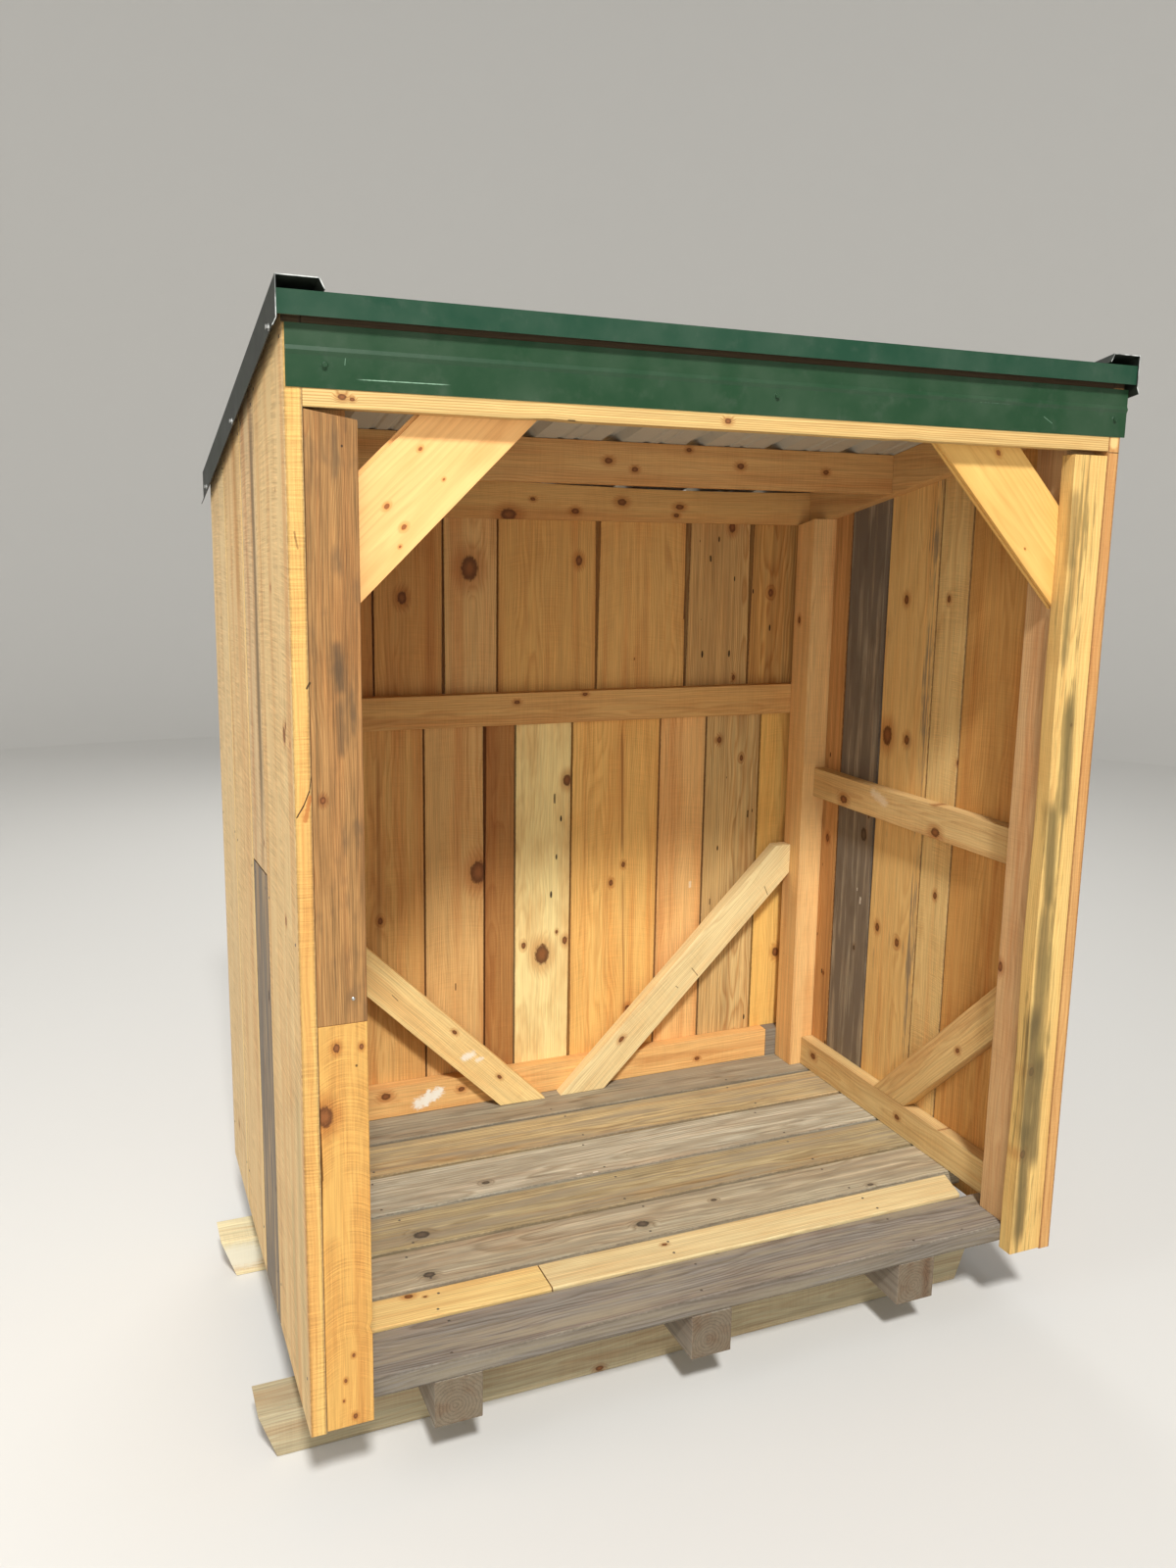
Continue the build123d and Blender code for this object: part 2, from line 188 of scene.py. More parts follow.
grainForm = {
    "detail": 3.0,
    "roughness": 0.62,
    "knotCell": 0.62,  # a knot's cell is longer along the grain by one over this
    "knotLeast": 0.1,  # mm
    "knotLong": 0.72,  # a knot is longer along the grain by one over this
    "knotRagged": 0.7,
    "knotEdge": {1: 1.5, 2: 1.15},  # this and the next two in knot radii
    "knotInside": {1: 1.1, 2: 0.6, 4: 0.6},
    "knotHalo": {1: 2.8, 2: 1.0},
    "knotTones": (0.9, 0.5),  # shares of the knot's and the halo's tone
    "ringPush": (1.3, 2.0),  # rings that a halo and a stripe push aside
    "ringTones": ((0.35, 0.15), (0.78, 1.0), (0.97, 0.0)),  # late wood from one ring to the next
    "sawChanges": 2,  # a light and a dark line in each pitch
    "sawStray": 1.2,  # pitches that a saw mark strays
    "sawAcross": 11,  # changes per metre across the board
    "sawTone": 0.16,
    "sawRidge": 0.6,
    "lightFibre": 0.7,  # light fibres show less than dark ones
    "skinDepth": {1: 2.6 * mm, 2: 0.6 * mm},
    "greyStart": (0.66, 0.36),  # noise value at which grey starts, and what its show takes off
    "greySoft": 0.2,
    "greyGain": 1.3,
    "mouldCore": 0.45,  # share of the band with the most mould
    "mouldLift": 0.17,
    "mouldBroad": 0.45,
    "mouldStart": (0.94, 1.06),
    "mouldGain": 0.1,
    "mouldMost": 0.85,
    "slitCells": (9, 30, 0),  # per metre
    "slitLong": 0.10,
    "edgeRagged": 2,
    "edgeReach": (2.2, 0.9),  # edge widths
    "edgeDepth": {1: 6 * mm, 2: 2 * mm, 3: 0.25},
    "ridge": 0.6 * mm,
}
timberLook = {
    "ringWidth": 4.6,  # mm
    "ringShow": 0.26,
    "late": "#C08A50",  # what dark late wood makes of white
    "heartDrift": 26,  # mm that the heart wanders along the log, which makes long flames
    "fibreShow": 0.17,
    "streakShow": 0.20,
    "stripeShow": 0.30,
    "stripe": "#D79A62",
    "patchShow": 0.22,
    "patch": "#DDB075",
    "knotCell": 125,  # mm
    "knotRadius": 8,  # mm
    "knotShare": 0.16,
    "knot": "#5A3115",
    "halo": "#C08650",
    "knotInside": "#9A5F33",
    "checkShare": 0.0,  # share of cells with a drying crack
    "check": "#2E1C0E",
    "greyShow": 0.0,
    "grey": "#8B8173",
    "smudgeShow": 0.0,
    "smudge": "#57493A",
    "mouldShow": 0.0,
    "mould": "#49443A",
    "mouldBand": (0, 400),  # mm from the board's middle line, and how far it spreads
    "sawPitch": 6.0,  # mm between saw marks, drawn a little coarse so that they show
    "sawCurve": 1.2,
    "sawShow": 0.3,
    "skinShow": 0.0,
    "skin": "#D8C8AC",  # weathered skin on the two broad faces
    "edgeShow": 0.35,
    "edgeWidth": 2.0,  # mm
    "edge": "#6B4322",
    "endTone": "#B48C5C",
    "endShow": 0.7,
    "roughness": 0.70,
    "bump": 0.55,
}


def fillTimber(material, look, knots, marks):
    tree = material.node_tree
    form = grainForm
    spot, heart, span = [addNode(tree, "Attribute", give="Vector", attribute_name=name)
                         for name in ("boardSpot", "boardHeart", "boardSpan")]
    tint = addNode(tree, "Attribute", give="Color", attribute_name="boardTint")
    endFace = addNode(tree, "Attribute", give="Fac", attribute_name="endGrain")
    place = addNode(tree, "TexCoord", give="Object")
    grain = addNode(tree, "VectorMath", {0: spot, 1: heart}, operation="ADD")
    patterns = {}
    for name, (along, across) in grainSize.items():
        stretched = addNode(tree, "VectorMath", {0: grain, 1: (1000 / along, 1000 / across, 1000 / across)},
                            operation="MULTIPLY")
        patterns[name] = addNode(tree, "TexNoise", {"Vector": stretched, "Scale": 1.0, "Detail": form["detail"],
                                 "Roughness": form["roughness"]}, give=None)
    pattern = {name: node.outputs["Fac"] for name, node in patterns.items()}

    # Knots are branches that cross the board: scattered ones by cell and those with a place of their own.
    cell = look["knotCell"] * mm
    toCell = addNode(tree, "VectorMath", {0: grain, 1: (form["knotCell"] / cell, 1 / cell, 0)}, operation="MULTIPLY")
    cells = addNode(tree, "TexVoronoi", {"Vector": toCell, "Scale": 1.0}, give=None, voronoi_dimensions="2D")
    chance = addNode(tree, "SeparateColor", {0: cells.outputs["Color"]})
    size = addNode(tree, "MapRange", {"Value": chance, 1: 1 - look["knotShare"], 2: 1.0,
                   3: form["knotLeast"] * mm / cell, 4: look["knotRadius"] * mm / cell})
    knotReach = addNode(tree, "Math", {0: cells.outputs["Distance"], 1: size}, operation="DIVIDE")
    for along, across, radius in knots:
        offset = addNode(tree, "VectorMath", {0: grain, 1: (along, across, 0)}, operation="SUBTRACT")
        offset = addNode(tree, "VectorMath", {0: offset, 1: (1000 * form["knotLong"] / radius, 1000 / radius, 0)},
                         operation="MULTIPLY")
        reach = addNode(tree, "VectorMath", {0: offset}, give="Value", operation="LENGTH")
        knotReach = addNode(tree, "Math", {0: knotReach, 1: reach}, operation="MINIMUM")
    ragged = addNode(tree, "Math", {0: pattern["rough"], 1: form["knotRagged"], 2: knotReach}, operation="MULTIPLY_ADD")
    core = addNode(tree, "MapRange", {"Value": ragged, **form["knotEdge"]}, interpolation_type="SMOOTHSTEP")
    inside = addNode(tree, "MapRange", {"Value": ragged, **form["knotInside"]})
    halo = addNode(tree, "MapRange", {"Value": knotReach, **form["knotHalo"]}, interpolation_type="SMOOTHSTEP")

    # Growth rings around a heart that wanders, pushed aside by the knots
    drift = addNode(tree, "VectorMath", {0: patterns["drift"].outputs["Color"], 1: (noiseMiddle,) * 3},
                    operation="SUBTRACT")
    push = look["heartDrift"] * mm / noiseMiddle
    bent = addNode(tree, "VectorMath", {0: drift, 1: (0, push, push), 2: grain}, operation="MULTIPLY_ADD")
    bent = addNode(tree, "VectorMath", {0: bent, 1: (0, 1, 1)}, operation="MULTIPLY")
    rings = addNode(tree, "VectorMath", {0: bent}, give="Value", operation="LENGTH")
    rings = addNode(tree, "Math", {0: rings, 1: 1000 / look["ringWidth"]}, operation="MULTIPLY")
    for pushed, by in zip((halo, pattern["stripe"]), form["ringPush"]):
        rings = addNode(tree, "Math", {0: pushed, 1: by, 2: rings}, operation="MULTIPLY_ADD")
    rings = addNode(tree, "Math", {0: rings}, operation="FRACT")
    lateNode = addNode(tree, "ValToRGB", {0: rings}, give=None)
    elements = lateNode.color_ramp.elements
    *inner, (end, endLevel) = form["ringTones"]
    elements[0].color = (0, 0, 0, 1)
    elements[1].position = end
    elements[1].color = (endLevel, endLevel, endLevel, 1)
    for where, level in inner:
        elements.new(where).color = (level, level, level, 1)

    # Saw marks cross the board in shallow arcs and come and go.
    parts = addNode(tree, "SeparateXYZ", {0: spot}, give=None)
    square = addNode(tree, "Math", {0: parts.outputs["Y"], 1: parts.outputs["Y"]}, operation="MULTIPLY")
    arc = addNode(tree, "Math", {0: square, 1: look["sawCurve"], 2: parts.outputs["X"]}, operation="MULTIPLY_ADD")
    arc = addNode(tree, "Math", {0: pattern["drift"], 1: form["sawStray"] * look["sawPitch"] * mm, 2: arc},
                  operation="MULTIPLY_ADD")
    arc = addNode(tree, "Math", {0: arc, 1: form["sawChanges"] * 1000 / look["sawPitch"]}, operation="MULTIPLY")
    across = addNode(tree, "VectorMath", {0: grain, 1: (0, form["sawAcross"], form["sawAcross"])}, operation="MULTIPLY")
    across = addNode(tree, "SeparateXYZ", {0: across}, give=None)
    lines = addNode(tree, "CombineXYZ", {0: arc, 1: across.outputs["Y"], 2: across.outputs["Z"]})
    wave = addNode(tree, "TexNoise", {"Vector": lines, "Scale": 1.0, "Detail": 2.0}, give="Fac")
    wave = addNode(tree, "MapRange", {"Value": wave, **grainShows["sawWave"]})
    sawHere = addNode(tree, "MapRange", {"Value": pattern["patch"], **grainShows["sawHere"]},
                      interpolation_type="SMOOTHSTEP")
    saw = addNode(tree, "Math", {0: wave, 1: sawHere}, operation="MULTIPLY")

    room = addNode(tree, "VectorMath", {0: spot}, operation="ABSOLUTE")
    room = addNode(tree, "VectorMath", {0: span, 1: room}, operation="SUBTRACT")
    room = addNode(tree, "SeparateXYZ", {0: room}, give=None)
    base = tint
    if look["skinShow"]:
        skin = addNode(tree, "MapRange", {"Value": room.outputs["Z"], **form["skinDepth"], 4: look["skinShow"]})
        base = addNode(tree, "Mix", {0: skin, 6: tint, 7: linear(look["skin"])}, give=2, data_type="RGBA")

    # Light and dark of fibres and saw marks over the board's own tint
    bright = addNode(tree, "MapRange", {"Value": pattern["fibre"], **grainShows["fibre"], 3: 1 - look["fibreShow"],
                     4: 1 + look["fibreShow"] * form["lightFibre"]}, clamp=False)
    streaks = addNode(tree, "Math", {0: pattern["streak"], 1: noiseMiddle}, operation="SUBTRACT")
    bright = addNode(tree, "Math", {0: streaks, 1: look["streakShow"] / noiseMiddle, 2: bright},
                     operation="MULTIPLY_ADD")
    bright = addNode(tree, "Math", {0: saw, 1: look["sawShow"] * form["sawTone"], 2: bright}, operation="MULTIPLY_ADD")
    colour = addNode(tree, "VectorMath", {0: base, "Scale": bright}, operation="SCALE")

    coreTone, haloTone = form["knotTones"]
    late = addNode(tree, "Math", {0: lateNode.outputs["Color"], 1: look["ringShow"]}, operation="MULTIPLY")
    stripe = addNode(tree, "MapRange", {"Value": pattern["stripe"], **grainShows["stripe"], 4: look["stripeShow"]})
    patch = addNode(tree, "MapRange", {"Value": pattern["patch"], **grainShows["patch"], 4: look["patchShow"]})
    haloShare = addNode(tree, "Math", {0: halo, 1: haloTone}, operation="MULTIPLY")
    layers = [(late, look["late"], "MULTIPLY"), (stripe, look["stripe"], "MULTIPLY"),
              (patch, look["patch"], "MULTIPLY"), (haloShare, look["halo"], "MULTIPLY")]
    if look["greyShow"]:
        start, taken = form["greyStart"]
        low = start - look["greyShow"] * taken
        grey = addNode(tree, "MapRange", {"Value": pattern["weather"], 1: low, 2: low + form["greySoft"],
                       4: min(1.0, look["greyShow"] * form["greyGain"])})
        layers.append((grey, look["grey"], "MIX"))
    if look["smudgeShow"]:
        smudge = addNode(tree, "MapRange", {"Value": pattern["smudge"], **grainShows["smudge"], 4: look["smudgeShow"]})
        flecks = addNode(tree, "MapRange", {"Value": pattern["mould"], **grainShows["flecks"]})
        smudge = addNode(tree, "Math", {0: smudge, 1: flecks}, operation="MULTIPLY")
        layers.append((smudge, look["smudge"], "MIX"))
    if look["mouldShow"]:
        middle, spread = look["mouldBand"]
        less = look["mouldShow"] * form["mouldGain"]
        aside = addNode(tree, "Math", {0: parts.outputs["Y"], 1: -middle * mm}, operation="ADD")
        aside = addNode(tree, "Math", {0: aside}, operation="ABSOLUTE")
        inBand = addNode(tree, "MapRange", {"Value": aside, 1: spread * mm, 2: spread * form["mouldCore"] * mm,
                         4: form["mouldLift"]})
        noisy = addNode(tree, "Math", {0: pattern["mould"], 1: inBand}, operation="ADD")
        broad = addNode(tree, "Math", {0: pattern["smudge"], 1: form["mouldBroad"], 2: noisy}, operation="MULTIPLY_ADD")
        mould = addNode(tree, "MapRange", {"Value": broad, 1: form["mouldStart"][0] - less,
                        2: form["mouldStart"][1] - less, 4: form["mouldMost"]})
        layers.append((mould, look["mould"], "MIX"))
    if look["checkShare"]:
        toCell = addNode(tree, "VectorMath", {0: grain, 1: form["slitCells"]}, operation="MULTIPLY")
        slits = addNode(tree, "TexVoronoi", {"Vector": toCell, "Scale": 1.0}, give=None, voronoi_dimensions="2D")
        luck = addNode(tree, "SeparateColor", {0: slits.outputs["Color"]})
        size = addNode(tree, "MapRange", {"Value": luck, 1: 1 - look["checkShare"], 2: 1.0, 3: 0.0,
                       4: form["slitLong"]})
        slit = addNode(tree, "Math", {0: slits.outputs["Distance"], 1: size}, operation="LESS_THAN")
        layers.append((slit, look["check"], "MIX"))
    edgeWidth = look["edgeWidth"] * mm
    far, near = form["edgeReach"]
    edge = addNode(tree, "Math", {0: pattern["rough"], 1: edgeWidth * form["edgeRagged"], 2: room.outputs["Y"]},
                   operation="MULTIPLY_ADD")
    edge = addNode(tree, "MapRange", {"Value": edge, 1: edgeWidth * far, 2: edgeWidth * near, 4: look["edgeShow"]})
    nearFace = addNode(tree, "MapRange", {"Value": room.outputs["Z"], **form["edgeDepth"]})
    edge = addNode(tree, "Math", {0: edge, 1: nearFace}, operation="MULTIPLY")
    coreShare = addNode(tree, "Math", {0: core, 1: coreTone}, operation="MULTIPLY")
    endShare = addNode(tree, "Math", {0: endFace, 1: look["endShow"]}, operation="MULTIPLY")
    layers += [(edge, look["edge"], "MIX"), (coreShare, look["knot"], "MIX"), (inside, look["knotInside"], "MIX"),
               (endShare, look["endTone"], "MULTIPLY")]
    for tone, *mark in marks:
        streaked = (Vector(mark[1]) - Vector(mark[0])).length > markForm["long"]
        layers.append((markShare(tree, place, mark, pattern["mould" if streaked else "rough"]), tone, "MIX"))
    colour = layTones(tree, colour, layers)

    # Heights: saw ridges and fibres
    height = addNode(tree, "Math", {0: saw, 1: look["sawShow"] * form["sawRidge"], 2: pattern["fibre"]},
                     operation="MULTIPLY_ADD")
    bump = addNode(tree, "Bump", {"Strength": look["bump"], "Distance": form["ridge"], "Height": height})
    shader = addNode(tree, "BsdfPrincipled", {"Base Color": colour, "Roughness": look["roughness"], "IOR": 1.46,
                     "Specular IOR Level": 0.3, "Normal": bump})
    addNode(tree, "OutputMaterial", {"Surface": shader})


# The kinds of timber in the store, each with what it gives the eye and what sets it off from plain pine
woods = {
    # sawn framing pine, a softwood left as the saw cut it: straw-yellow, matt, faint lines across
    "sawnFramingPine": {"knotShare": 0.12, "sawShow": 0.25, "edgeShow": 0.15},
    # the same planed: crisp pale rings and a faint sheen
    "planedHeaderPine": {"sawShow": 0.0, "ringWidth": 4.4, "ringShow": 0.62, "heartDrift": 8, "knotShare": 0.0,
                         "stripeShow": 0.12, "patchShow": 0.15, "bump": 0.3, "roughness": 0.55, "edgeShow": 0.1},
    # machined flooring pine: the smoothest and palest, with hardly any grain
    "tongueAndGroovePine": {"sawShow": 0.0, "ringWidth": 8.0, "ringShow": 0.16, "fibreShow": 0.06,
                            "streakShow": 0.08, "stripeShow": 0.12, "patchShow": 0.22, "knotShare": 0.0, "bump": 0.2,
                            "roughness": 0.5, "edgeShow": 0.0, "halo": "#D8A868", "knot": "#8A4F26"},
    # rough sawn siding that has stood outside: greyish tan, level saw lines, dark seams
    "roughOuterPine": {"sawShow": 1.1, "sawPitch": 8.0, "sawCurve": 0.25, "ringShow": 0.2, "skinShow": 0.6,
                       "stripeShow": 0.4, "greyShow": 0.16, "edgeShow": 0.6, "edge": "#5E4122", "knotShare": 0.10,
                       "bump": 0.8, "fibreShow": 0.1, "streakShow": 0.14, "skin": "#CDB791"},
    # its sheltered side: warm gold with bark-dark edges
    "roughInnerPine": {"sawShow": 0.3, "ringShow": 0.28, "edgeShow": 0.75, "stripeShow": 0.35, "knotShare": 0.08},
    # a redder board with a brown face
    "brownInnerPine": {"sawShow": 0.4, "ringShow": 0.25, "edgeShow": 0.7, "stripeShow": 0.3, "skinShow": 0.85,
                       "skin": "#C89658"},
    # pine torn by a blunt saw: speckled and coarse
    "speckledInnerPine": {"sawShow": 0.9, "sawPitch": 5.2, "ringShow": 0.2, "edgeShow": 0.7, "bump": 1.0},
    # pale sapwood with big knots and short drying cracks
    "paleKnottyPine": {"sawShow": 0.0, "ringShow": 0.2, "edgeShow": 0.7, "stripeShow": 0.1, "patchShow": 0.4,
                       "patch": "#C98F50", "knotShare": 0.05, "checkShare": 0.05, "heartDrift": 30},
    # streaky boards with pitch stains and cracks
    "stainedStreakPine": {"sawShow": 0.0, "ringShow": 0.5, "edgeShow": 0.85, "streakShow": 0.45, "greyShow": 0.30,
                          "grey": "#6E5436", "checkShare": 0.13, "stripe": "#9A6A40"},
    # an old plank used again: silver-grey and fibrous
    "greyWeatheredPlank": {"sawShow": 0.2, "greyShow": 0.95, "grey": "#766A5C", "streakShow": 0.4, "edgeShow": 0.6,
                           "fibreShow": 0.25, "smudgeShow": 0.35, "knot": "#3A2A1C", "knotInside": "#6A5644",
                           "edge": "#3E3122"},
    # pine with a blue-grey fungus band along one edge
    "blueStainedPine": {"sawShow": 0.1, "mouldShow": 0.55, "mould": "#857560", "mouldBand": (-88, 30),
                        "edgeShow": 0.7, "knotShare": 0.0},
    # dirty brown face board with fine upright grain
    "stainedFaceBoard": {"sawShow": 0.1, "ringWidth": 3.0, "ringShow": 0.32, "smudgeShow": 0.75, "smudge": "#5A4630",
                         "streakShow": 0.5, "fibreShow": 0.45, "knotShare": 0.0, "edgeShow": 0.2, "bump": 0.8},
    # orange-gold face board with feathery arcs of a round saw
    "featheredFaceBoard": {"sawShow": 0.9, "sawCurve": 8.5, "sawPitch": 6.0, "ringShow": 0.12, "knotShare": 0.0,
                           "patchShow": 0.30, "patch": "#D08E3C", "edgeShow": 0.15, "bump": 0.9},
    # yellow face board with soft grey-brown mould down its middle
    "mouldStreakedFaceBoard": {"sawShow": 0.2, "ringShow": 0.24, "mouldShow": 0.8, "mould": "#8C7544",
                               "mouldBand": (-12, 40), "knotShare": 0.0, "stripeShow": 0.2, "edgeShow": 0.3,
                               "edge": "#8A6A3C"},
    # floor boards worn grey by weather: raised grain, dull, dark edges that are partly wear and partly painted shade of
    # the gaps between the boards
    "weatheredDeckBoard": {"sawShow": 0.0, "ringWidth": 5.5, "ringShow": 0.5, "late": "#9A8668", "greyShow": 0.62,
                           "grey": "#9C9079", "fibreShow": 0.30, "streakShow": 0.5, "knotShare": 0.10,
                           "knot": "#3E3730", "halo": "#A08A70", "knotInside": "#776654", "edgeShow": 0.75,
                           "edgeWidth": 3.4, "edge": "#4A4034", "roughness": 0.85, "bump": 1.0, "smudgeShow": 0.25,
                           "smudge": "#5E5549", "endTone": "#A59682"},
    # fresh planed floor board: clean and light
    "newDeckBoard": {"sawShow": 0.0, "ringShow": 0.3, "edgeShow": 0.3, "knotShare": 0.0},
    # treated skid timber: greenish-grey beige
    "roughSkidTimber": {"sawShow": 0.3, "greyShow": 0.20, "grey": "#8F8C6E", "edgeShow": 0.1, "streakShow": 0.35},
    # old joists: brown-grey, with the rings plain on their cut ends
    "weatheredJoist": {"sawShow": 0.3, "ringWidth": 7.5, "ringShow": 0.3, "greyShow": 0.3, "grey": "#7D7468",
                       "late": "#6A5844", "endTone": "#B2A48E", "edgeShow": 0.2, "heartDrift": 8},
}

# Knots seen in the boards, as x, y, z and radius in mm
knotPlaces = [
    (-754, -591, 2048, 5), (-738, -591, 2045, 3), (-45, -591, 2046, 5),
    (-674, -553, 1878, 4), (-645, -553, 1844, 4), (-574, -553, 1926, 2), (-652, -553, 1811, 2), (-615, -553, 1975, 3),
    (613, -553, 2019, 5), (702, -553, 1824, 2),
    (-786, -591, 937, 6), (-741, -591, 934, 4), (-810, -591, 811, 15), (-782, -591, 281, 3), (-786, -591, 240, 2),
    (-765, -591, 203, 4), (-766, -591, 330, 3), (-800, -591, 1385, 5),
    (799, -591, 641, 8), (796, -591, 437, 8), (834, -591, 1445, 3),
    (-194, 536, 1750, 24), (125, 536, 1773, 10), (601, 536, 1872, 11), (734, 536, 1684, 8), (-378, 536, 1672, 12),
    (-448, 536, 798, 7), (-169, 536, 911, 24), (23, 536, 648, 22), (95, 536, 1157, 12), (68, 536, 711, 4),
    (-34, 536, 681, 7), (275, 536, 894, 6), (298, 536, 446, 8), (580, 536, 1250, 7), (806, 536, 565, 11),
    (-97, 498, 1892, 16), (93, 498, 1907, 8), (231, 498, 1939, 10), (-29, 498, 1937, 5), (398, 498, 1903, 6),
    (19, 106, 2015, 7), (88, 106, 1997, 6), (377, 106, 2015, 7), (627, 106, 2009, 6), (232, 106, 2049, 5),
    (-448, 498, 305, 10), (-231, 498, 292, 7), (520, 498, 268, 6),
    (872, 111, 767, 9), (872, 19, 750, 9), (872, 67, 1686, 9), (872, 118, 1314, 20), (872, 31, 1314, 10),
    (872, 251, 1110, 12), (872, -128, 925, 7), (872, 196, 1015, 14),
    (834, -159, 1105, 12), (834, 340, 292, 9), (834, -78, 286, 7), (834, -302, 570, 6),
    (-594, -320, 240, 7), (-561, -333, 240, 3), (1, -339, 240, 5), (-507, -101, 240, 14), (-532, -260, 240, 10),
    (-9, -243, 240, 12), (-848, -505, 1487, 10), (-848, -466, 1140, 6), (-848, -566, 1479, 3), (-848, -394, 1735, 4),
]
